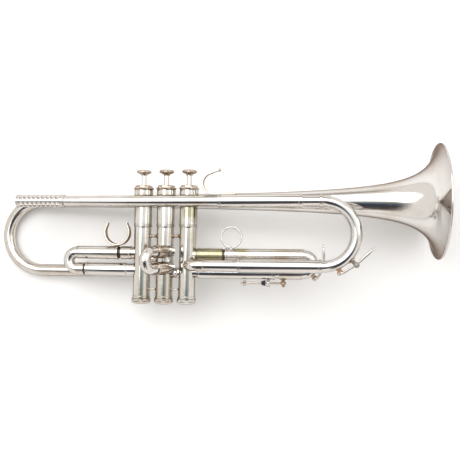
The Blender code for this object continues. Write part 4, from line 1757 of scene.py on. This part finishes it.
@dataclass
class FirstSlide:
    """The first valve's fixed legs, and its crook with the thumb saddle.

    Attributes:
        wall_x: about where the legs start, just outside the first casing.
        upper_z: the upper legs' height.
        lower_z: the lower leg's height.
        crook_x: the crook's upper end, inside the moving outer leg.
        mouth_x: its lower end, inside the fixed outer leg.
        bend_x: where its bend starts.
        sleeve_x: the moving outer leg's mouth.
        sleeve_length: its length.
        saddle_x: the thumb saddle's middle.
        saddle_radius: its bend.
    """

    wall_x: float = -35.1
    upper_z: float = -55.0
    lower_z: float = -73.0
    crook_x: float = -94.0
    mouth_x: float = -52.0
    bend_x: float = -98.0
    sleeve_x: float = -51.2
    sleeve_length: float = 45.3
    saddle_x: float = -52.6
    saddle_radius: float = 13.3

    def build(self, shop: Workshop) -> None:
        """Model the group's pieces.

        Args:
            shop: takes the pieces.
        """
        self.build_fixed(shop)
        self.build_crook(shop)
        self.build_bands(shop)
        self.build_saddle(shop)

    def build_fixed(self, shop: Workshop) -> None:
        """Turn the two fixed legs and join them to the first casing.

        Args:
            shop: takes the pieces.
        """
        back = (-1, 0, 0)
        upper = pipe((self.wall_x + 0.6, 0, self.upper_z), back,
                     [(0, STUB), (1.8, STUB), (2.2, 7.0), (3.8, 7.0), (4.2, OUTER_LEG),
                      (13.4, OUTER_LEG), (13.8, INNER_LEG), (50.6, INNER_LEG)],
                     [(0, AIR_BORE), (50.6, AIR_BORE)])
        shop.add("first_upper_leg", upper, Body.MAIN.value, "silver",
                 replaces=("first_upper_tube",))
        lower = pipe((self.wall_x + 0.6, 0, self.lower_z), back,
                     [(0, STUB), (7.0, STUB), (7.8, OUTER_LEG), (49.4, OUTER_LEG),
                      (49.6, 6.65), (50.3, 6.65), (50.6, BEAD), (52.5, BEAD),
                      (52.8, 6.9)],
                     [(0, AIR_BORE), (9.6, AIR_BORE), (9.6, SLIDE_BORE),
                      (52.8, SLIDE_BORE)])
        shop.add("first_lower_leg", lower, Body.MAIN.value, "bright",
                 replaces=("first_lower_sleeve",))
        for label, z in (("upper", self.upper_z), ("lower", self.lower_z)):
            add_knuckle(shop, f"first_{label}_knuckle", Valve(1),
                        (self.wall_x + 0.2, 0, z), (1, 0, 0))

    def build_crook(self, shop: Workshop) -> None:
        """Turn the moving outer leg and draw the crook.

        Args:
            shop: takes the pieces.
        """
        back = (-1, 0, 0)
        sleeve = pipe((self.sleeve_x, 0, self.upper_z), back,
                      outer_leg(self.sleeve_length),
                      [(0, SLIDE_BORE), (self.sleeve_length, SLIDE_BORE)])
        shop.add("first_upper_outer_leg", sleeve, Body.FIRST.value, "silver",
                 replaces=("first_upper_sleeve",))
        radius = (self.upper_z - self.lower_z) / 2
        tube = Tube.round((self.crook_x, 0, self.upper_z), back, INNER_LEG)
        tube.straight(self.crook_x - self.bend_x).bend(radius, 180, (0, 0, -1), 40)
        tube.straight(self.mouth_x - self.bend_x)
        shop.add("first_slide_crook", tube.walled(WALL), Body.FIRST.value, "bright",
                 replaces=("first_crook",))

    def build_bands(self, shop: Workshop) -> None:
        """Turn the crook's ferrules and lay dark rings in the gaps: old grease, and painted
        shade.

        Args:
            shop: takes the pieces.
        """
        for label, x, z, width in (("upper", -98.4, self.upper_z, 3.0),
                                   ("lower", -97.8, self.lower_z, 8.2)):
            band = pipe((x, 0, z), (1, 0, 0),
                        [(0, 6.3), (0.3, OUTER_LEG), (width - 0.2, OUTER_LEG),
                         (width, 6.5)], [(0, BAND_BORE), (width, BAND_BORE)])
            shop.add(f"first_{label}_ferrule", band, Body.FIRST.value)
        # Dark rings at the crook's mouths: old grease, and painted shade in the gaps.
        for name, x, z, body in (("upper", -51.9, self.upper_z, Body.MAIN),
                                 ("lower", -89.4, self.lower_z, Body.FIRST)):
            shop.add(f"first_{name}_grease_and_shade_line", grease_and_shade_line((x, 0, z), (1, 0, 0), 3.4),
                     body.value, "grime")

    @staticmethod
    def inward(way: float, turned: float) -> Vector:
        """The side a saddle arm's bend is on once it has turned by some degrees."""
        turn = math.radians(turned)
        return Vector((-way * math.sin(turn), 0.0, math.cos(turn)))

    def build_saddle(self, shop: Workshop) -> None:
        """Draw the thumb saddle, thick at its foot and fine at its tips.

        Args:
            shop: takes the pieces.
        """
        radius, x, base = self.saddle_radius, self.saddle_x, self.upper_z + 8.4
        arms = []
        for way in (-1.0, 1.0):
            strap = Tube.flat((x, 0, base), (way, 0, 0), (0, 1, 0), 9.0, 1.9)
            turned = 0.0
            for bend, thinner in ((46, 0.94), (40, 0.88), (32, 0.84)):
                strap.bend(radius, bend, self.inward(way, turned), 14)
                strap.straight(0.1, thinner)
                turned += bend
            strap.bend(radius * 0.8, 22, -self.inward(way, turned), 10)
            arms.append(strap.capped())
        foot = lathe([(0, -1.4), (3.2, -1.4), (2.9, -0.6), (2.4, 0.6), (0, 0.6)], 40, 0.3)
        stand(foot, (x, 0, base), (0, 0, 1))
        shop.add("thumb_saddle", merged([*arms, foot]), Body.FIRST.value, "worn",
                 replaces=("first_thumb_saddle",))


@dataclass
class SecondSlide:
    """The second valve's short slide with its pull knob.

    Attributes:
        upper_z: the upper leg's height.
        lower_z: the lower leg's height.
        start: where its runs are measured from, in x and y.
        angle: how many degrees it points back from straight out to the right.
        leg: how far out its bend starts.
        crook_run: how far out its tube starts, inside the legs.
    """

    upper_z: float = -53.1
    lower_z: float = -70.5
    start: tuple[float, float] = (4.6, -8.9)
    angle: float = 32.0
    leg: float = 24.0
    crook_run: float = 6.0

    def at(self, run: float, z: float) -> Vector:
        """A place along the slide's own direction at a height."""
        way = self.way()
        return Vector((self.start[0] + way.x * run, self.start[1] + way.y * run, z))

    def way(self) -> Vector:
        """The slide's own direction, out to the right and back."""
        turn = math.radians(self.angle)
        return Vector((-math.sin(turn), -math.cos(turn), 0.0))

    def build(self, shop: Workshop) -> None:
        """Model the group's pieces.

        Args:
            shop: takes the pieces.
        """
        way = self.way()
        for label, z in (("upper", self.upper_z), ("lower", self.lower_z)):
            steps = [(0, STUB), (1.4, OUTER_LEG), (12.2, OUTER_LEG), (12.4, 6.6),
                     (12.9, 6.6), (13.1, BEAD), (14.8, BEAD), (15.0, 6.9)]
            leg = pipe(self.at(3.1, z), way, steps,
                       [(0, 5.25), (2.0, 5.25), (2.0, SLIDE_BORE), (15.0, SLIDE_BORE)])
            shop.add(f"second_{label}_leg", leg, Body.MAIN.value, "worn",
                     replaces=(f"second_{label}_sleeve",))
            add_knuckle(shop, f"second_{label}_knuckle", Valve(2), self.at(4.0, z), -way)
        radius = (self.upper_z - self.lower_z) / 2
        tube = Tube.round(self.at(self.crook_run, self.upper_z), way, INNER_LEG)
        tube.straight(self.leg - self.crook_run).bend(radius, 180, (0, 0, -1), 40)
        tube.straight(self.leg - self.crook_run)
        shop.add("second_slide_crook", tube.walled(WALL), Body.SECOND.value, "bright",
                 replaces=("second_crook",))
        self.build_knob(shop, radius)

    def build_knob(self, shop: Workshop, radius: float) -> None:
        """Turn the pull knob inside the bend: a neck and two lobes.

        Args:
            shop: takes the pieces.
            radius: of the slide's bend.
        """
        inner = self.leg + radius - INNER_LEG
        knob = lathe([(0, 0.6), (1.1, 0.6), (1.0, -0.6), (1.9, -1.2), (2.3, -2.3),
                      (1.9, -3.4), (1.1, -4.2), (1.8, -5.0), (2.1, -6.0), (1.6, -7.0),
                      (0, -7.4)], 40, 0.2)
        stand(knob, self.at(inner, (self.upper_z + self.lower_z) / 2), self.way())
        shop.add("second_pull_knob", knob, Body.SECOND.value, "worn")


@dataclass
class ThirdSlide:
    """The third valve's fixed legs, and its crook with finger ring and stop rod.

    Attributes:
        wall_x: about where the legs start, just outside the third casing.
        upper_z: the upper legs' height.
        lower_z: the lower leg's height.
        crook_x: the crook's upper end, inside the moving outer leg.
        mouth_x: its lower end, inside the fixed outer leg.
        bend_x: where its bend starts.
        sleeve_x: the moving outer leg's mouth.
        sleeve_length: its length.
        fixed_end_x: the fixed outer leg's mouth.
        ring_x: the finger ring's middle.
        rod_z: the stop rod's height.
        guide_x: the fixed guide's place.
        post_x: the place of the post at the stop rod's end.
    """

    wall_x: float = 34.6
    upper_z: float = -56.6
    lower_z: float = -74.8
    crook_x: float = 143.0
    mouth_x: float = 62.0
    bend_x: float = 148.0
    sleeve_x: float = 65.2
    sleeve_length: float = 80.0
    fixed_end_x: float = 118.0
    ring_x: float = 71.5
    rod_z: float = -85.8
    guide_x: float = 110.9
    post_x: float = 126.7

    def build(self, shop: Workshop) -> None:
        """Model the group's pieces.

        Args:
            shop: takes the pieces.
        """
        self.build_fixed(shop)
        sleeve = pipe((self.sleeve_x, 0, self.upper_z), (1, 0, 0),
                      outer_leg(self.sleeve_length),
                      [(0, SLIDE_BORE), (self.sleeve_length, SLIDE_BORE)])
        shop.add("third_upper_outer_leg", sleeve, Body.THIRD.value, "collar",
                 replaces=("third_upper_sleeve",))
        radius = (self.upper_z - self.lower_z) / 2
        tube = Tube.round((self.crook_x, 0, self.upper_z), (1, 0, 0), INNER_LEG)
        tube.straight(self.bend_x - self.crook_x).bend(radius, 180, (0, 0, -1), 40)
        tube.straight(self.bend_x - self.mouth_x)
        shop.add("third_slide_crook", tube.walled(WALL), Body.THIRD.value, "bright",
                 replaces=("third_crook",))
        for label, x, z, width in (("upper", 144.6, self.upper_z, 3.2),
                                   ("lower", 121.8, self.lower_z, 24.8)):
            band = pipe((x, 0, z), (1, 0, 0),
                        [(0, 6.5), (0.3, OUTER_LEG), (width - 0.3, OUTER_LEG),
                         (width, 6.4)], [(0, BAND_BORE), (width, BAND_BORE)])
            shop.add(f"third_{label}_ferrule", band, Body.THIRD.value)
        self.build_ring(shop)
        self.build_stop_rod(shop)

    def build_fixed(self, shop: Workshop) -> None:
        """Turn the two fixed legs and join them to the third casing.

        Args:
            shop: takes the pieces.
        """
        start = self.wall_x - 1.6
        stub = [(0, STUB), (2.2, STUB), (2.7, STUB_RIM), (4.4, STUB_RIM), (4.8, OUTER_LEG)]
        upper = pipe((start, 0, self.upper_z), (1, 0, 0),
                     stub + [(29.4, OUTER_LEG), (29.6, INNER_LEG), (95.6, INNER_LEG)],
                     [(0, AIR_BORE), (95.6, AIR_BORE)])
        shop.add("third_upper_leg", upper, Body.MAIN.value, "olive",
                 replaces=("third_upper_tube",), slot=Slot.TARNISHED)
        # A dark ring at the leg's mouth: old grease, and painted shade in the gap.
        gap = grease_and_shade_line((62.8, 0, self.upper_z), (1, 0, 0), 3.0)
        shop.add("third_upper_grease_line", gap, Body.MAIN.value, "grime")
        length = self.fixed_end_x - start
        mouth = [(length - 3.2, OUTER_LEG), (length - 3.0, 6.65), (length - 2.4, 6.65),
                 (length - 2.1, BEAD), (length - 0.3, BEAD), (length, 6.9)]
        lower = pipe((start, 0, self.lower_z), (1, 0, 0), stub + mouth,
                     [(0, SLIDE_BORE), (length, SLIDE_BORE)])
        shop.add("third_lower_leg", lower, Body.MAIN.value, "bright",
                 replaces=("third_lower_sleeve",))
        for label, z in (("upper", self.upper_z), ("lower", self.lower_z)):
            add_knuckle(shop, f"third_{label}_knuckle", Valve(3),
                        (self.wall_x - 0.9, 0, z), (-1, 0, 0))

    def build_ring(self, shop: Workshop) -> None:
        """Spin the finger ring and set it on its foot.

        Args:
            shop: takes the pieces.
        """
        wire, radius, x = 1.0, 10.8, self.ring_x
        base = self.upper_z + OUTER_LEG
        low = base + 0.3 + wire
        tube = Tube.round((x, 0, low), (1, 0, 0), wire, 20)
        bmesh.ops.spin(tube.work, geom=tube.ring, cent=(x, 0, low + radius),
                       axis=(0, 1, 0), angle=math.tau, steps=96, use_merge=True)
        bmesh.ops.remove_doubles(tube.work, verts=tube.work.verts, dist=WELD)
        bmesh.ops.recalc_face_normals(tube.work, faces=tube.work.faces)
        foot = lathe([(0, -0.6), (3.4, -0.6), (3.0, 0.3), (1.5, 1.1), (1.1, 1.8),
                      (0, 1.8)], 40, 0.2)
        stand(foot, (x, 0, base), (0, 0, 1))
        shop.add("finger_ring", merged([tube.work, foot]), Body.THIRD.value,
                 replaces=("third_finger_ring",))

    def post(self, x: float, drilled: bool) -> bmesh.types.BMesh:
        """A ball post below the lower leg, drilled along x if the rod runs through it.

        Args:
            x: its place along the leg.
            drilled: whether the rod passes through with room to slide.

        Returns:
            The post.
        """
        top = self.lower_z - 6.5
        above = [(0, top), (3.5, top), (3.3, top - 0.8), (2.0, top - 1.2),
                 (1.5, -83.2)]
        below = [(1.4, -88.3), (2.0, -88.8), (1.8, -89.6), (0, -90.0)]
        if not drilled:
            middle = [(2.6, -84.2), (3.2, self.rod_z), (2.6, -87.4)]
            work = lathe(above + middle + below, 48, 0.2)
            return stand(work, (x, 0, 0), (0, 0, 1))
        parts = [lathe(above + [(0, -83.2)], 48, 0.1), lathe([(0, -88.3)] + below, 48, 0.1)]
        parts = [stand(part, (x, 0, 0), (0, 0, 1)) for part in parts]
        eye = lathe([(1.35, -1.6), (2.6, -1.6), (3.2, 0.0), (2.6, 1.6), (1.35, 1.6)], 48,
                    0.3)
        parts.append(stand(eye, (x, 0, self.rod_z), (1, 0, 0)))
        return merged(parts)

    def build_stop_rod(self, shop: Workshop) -> None:
        """Turn the stop rod with its nuts, its post, and the fixed guide and bumper.

        Args:
            shop: takes the pieces.
        """
        shaft = rod((81.4, 0, self.rod_z), (self.post_x, 0, self.rod_z), 1.05, 32, 0.4)
        nuts = []
        for start in (84.0, 85.8):
            nut = lathe([(1.0, 0), (2.9, 0), (3.1, 0.3), (3.1, 1.1), (2.9, 1.4),
                         (1.0, 1.4)], 64, 0.08)
            knurl(nut, 2.95, 0.1, 1.3, 0.22)
            nuts.append(stand(nut, (start, 0, self.rod_z), (1, 0, 0)))
        shop.add("stop_rod_shaft", merged([shaft, self.post(self.post_x, False)]),
                 Body.THIRD.value, "worn", replaces=("third_stop_rod",))
        shop.add("stop_rod_nuts", merged(nuts), Body.THIRD.value, "worn", crease=24.0)
        shop.add("stop_guide", self.post(self.guide_x, True), Body.MAIN.value, "bright",
                 replaces=("stop_rod_guide",))
        bumper = lathe([(1.25, 0), (1.9, 0), (3.0, 3.4), (3.0, 4.4), (1.25, 4.4)], 48, 0.3)
        stand(bumper, (103.6, 0, self.rod_z), (1, 0, 0))
        shop.add("stop_bumper", bumper, Body.MAIN.value, "rubber")


# ---- Studio ----


@dataclass
class Studio:
    """A white table, soft light from the upper left, and the camera overhead.

    Attributes:
        lens: in millimetres on a sensor of 36.
        height: of the camera over the valves' axis.
        aside: of the camera from the second valve, to the bell and to the buttons.
        roll: in degrees.
        table_size: half the table's side, in metres.
        table_drop: how far the table is below the lowest point.
        strength: of the room's light.
        beyond: the room's colour far to either side.
        sky: places and colours across the room overhead, from the bottom caps' side
            to the buttons' side, with straight up in the middle.
    """

    lens: float = 46.96
    height: float = 0.645
    aside: tuple[float, float] = (0.0696, -0.030)
    roll: float = 0.3
    table_size: float = 20.0
    table_drop: float = 0.0004
    strength: float = 1.25
    beyond: Colour = (0.80, 0.77, 0.74)
    sky: tuple[tuple[float, Colour], ...] = (
        (0.0, (0.90, 0.85, 0.82)), (0.10, (0.84, 0.79, 0.76)),
        (0.17, (0.50, 0.46, 0.43)), (0.25, (0.10, 0.08, 0.07)),
        (0.40, (0.04, 0.045, 0.06)), (0.44, (0.07, 0.09, 0.13)),
        (0.47, (0.24, 0.27, 0.28)), (0.487, (0.42, 0.44, 0.43)),
        (0.498, (0.88, 0.90, 0.91)), (0.60, (1.0, 1.0, 1.0)),
        (0.80, (0.95, 0.93, 0.91)), (1.0, (0.42, 0.39, 0.37)))

    def build(self, place: PlayingFrame) -> None:
        """Set the stage.

        Args:
            place: the playing frame.
        """
        self.build_table()
        self.build_world()
        self.add_light("key_light", (-0.38, 0.58, 1.3), (1.5, 1.1), 13.0)
        self.add_light("fill_light", (0.9, 0.35, 0.9), (0.8, 0.6), 1.5)
        self.build_camera(place)

    def build_table(self) -> None:
        """Lay the white table."""
        work = bmesh.new()
        bmesh.ops.create_grid(work, x_segments=1, y_segments=1, size=self.table_size,
                              matrix=Matrix.Translation((0, 0, -self.table_drop)))
        mesh = bpy.data.meshes.new("table")
        work.to_mesh(mesh)
        work.free()
        box = Paintbox("White table")
        box.set(Roughness=0.75)
        box.shader.inputs["Base Color"].default_value = (0.93, 0.925, 0.915, 1.0)
        mesh.materials.append(box.material)
        table = bpy.data.objects.new("table", mesh)
        bpy.context.scene.collection.objects.link(table)

    def build_world(self) -> None:
        """Grade the room: bright on the buttons' side of overhead, dim on the other."""
        world = bpy.data.worlds.new("Room")
        world.use_nodes = True
        bpy.context.scene.world = world
        tree = world.node_tree
        place = tree.nodes.new("ShaderNodeTexCoord")
        parts = tree.nodes.new("ShaderNodeSeparateXYZ")
        tree.links.new(place.outputs["Generated"], parts.inputs[0])
        # Where a ray would meet a level ceiling, along the bell and along the valves.
        high = math_node(tree, "MAXIMUM", parts.outputs["Z"], 0.05)
        side = math_node(tree, "DIVIDE", parts.outputs["X"], high)
        near = math_node(tree, "DIVIDE", parts.outputs["Y"], high)
        ramp = tree.nodes.new("ShaderNodeValToRGB")
        # The dim band is half as wide over the valves and widens to either side.
        away = math_node(tree, "ABSOLUTE", math_node(tree, "SUBTRACT", side, 0.05), 0.0)
        width = math_node(tree, "ADD", math_node(tree, "MULTIPLY", away, 2.6), 0.5)
        shaped = math_node(tree, "DIVIDE", near, math_node(tree, "MINIMUM", width, 1.5))
        shifted = math_node(tree, "MULTIPLY", shaped, 0.25)
        tree.links.new(math_node(tree, "ADD", shifted, 0.5, clamp=True),
                       ramp.inputs["Fac"])
        elements = ramp.color_ramp.elements
        for position, _ in self.sky[1:-1]:
            elements.new(position)
        for element, (position, colour) in zip(elements, self.sky):
            element.position = position
            element.color = (*colour, 1.0)
        # Far to either side the bands fade into one plain tone.
        wide = math_node(tree, "ABSOLUTE", side, 0.0)
        fade = math_node(tree, "SUBTRACT", wide, 0.5)
        soft = math_node(tree, "MULTIPLY", fade, 3.0, clamp=True)
        mix = tree.nodes.new("ShaderNodeMix")
        mix.data_type = "RGBA"
        colours = [socket for socket in mix.inputs if socket.type == "RGBA"]
        tree.links.new(soft, mix.inputs["Factor"])
        tree.links.new(ramp.outputs["Color"], colours[0])
        colours[1].default_value = (*self.beyond, 1.0)
        background = tree.nodes["Background"]
        background.inputs["Strength"].default_value = self.strength
        tree.links.new(next(s for s in mix.outputs if s.type == "RGBA"),
                       background.inputs["Color"])

    def add_light(self, name: str, at: Sequence[float], size: Sequence[float],
                  power: float) -> None:
        """Hang a soft rectangular light that faces the instrument.

        Args:
            name: of the light.
            at: its place in row metres.
            size: its sides, in metres.
            power: in watts.
        """
        light = bpy.data.lights.new(name, "AREA")
        light.shape = "RECTANGLE"
        light.size, light.size_y = size
        light.energy = power
        lamp = bpy.data.objects.new(name, light)
        lamp.location = at
        lamp.rotation_euler = Vector(at).to_track_quat("Z", "Y").to_euler()
        bpy.context.scene.collection.objects.link(lamp)

    def build_camera(self, place: PlayingFrame) -> None:
        """Hang the camera over the instrument, looking straight down.

        Args:
            place: the playing frame.
        """
        camera = bpy.data.cameras.new("camera")
        camera.lens = self.lens
        camera.sensor_width = 36.0
        camera.clip_start = 0.01
        holder = bpy.data.objects.new("camera", camera)
        origin = place.point(0, 0, 0)
        holder.location = origin + Vector((*self.aside, self.height))
        holder.rotation_euler = (0.0, 0.0, math.radians(self.roll))
        bpy.context.scene.collection.objects.link(holder)
        bpy.context.scene.camera = holder
        bpy.context.scene.view_settings.view_transform = "Standard"


# ---- Putting it together ----


def dress_inner_nodes(finishes: Finishes) -> None:
    """Give the pistons inside the casings their own metal.

    Args:
        finishes: the materials.
    """
    for number in (1, 2, 3):
        piston = frame["nodes"][f"valve_{number}_piston"].data
        piston.materials.clear()
        piston.materials.append(finishes["steel"])


def main() -> None:
    """Build every group, then the studio."""
    logging.basicConfig(level=logging.INFO, format="%(name)s %(message)s")
    place = PlayingFrame.from_joints(frame["record"]["behaviour"]["joints"])
    finishes = Finishes(place)
    shop = Workshop(place, finishes)
    groups = (
        Bell(), Leadpipe(), TuningSlide(),
        WaterKey("tuning", Body.TUNING, Body.TUNING_KEY, y=LEADPIPE_Y,
                 centre=(167.0, -33.45), surface=39.35, cork_angle=-66.0,
                 pivot_angle=-42.8, tip=(216.9, -48.7)),
        ValveBlock(), FirstSlide(), SecondSlide(), ThirdSlide(),
        WaterKey("third", Body.THIRD, Body.THIRD_KEY, y=0.0,
                 centre=(148.0, -65.7), surface=15.0, cork_angle=-51.0,
                 pivot_angle=-10.7, tip=(168.4, -47.2)),
    )
    for group in groups:
        group.build(shop)
    dress_inner_nodes(finishes)
    Studio().build(place)
    LOG.info("%d pieces made", shop.made)


if __name__ == "__main__":
    main()
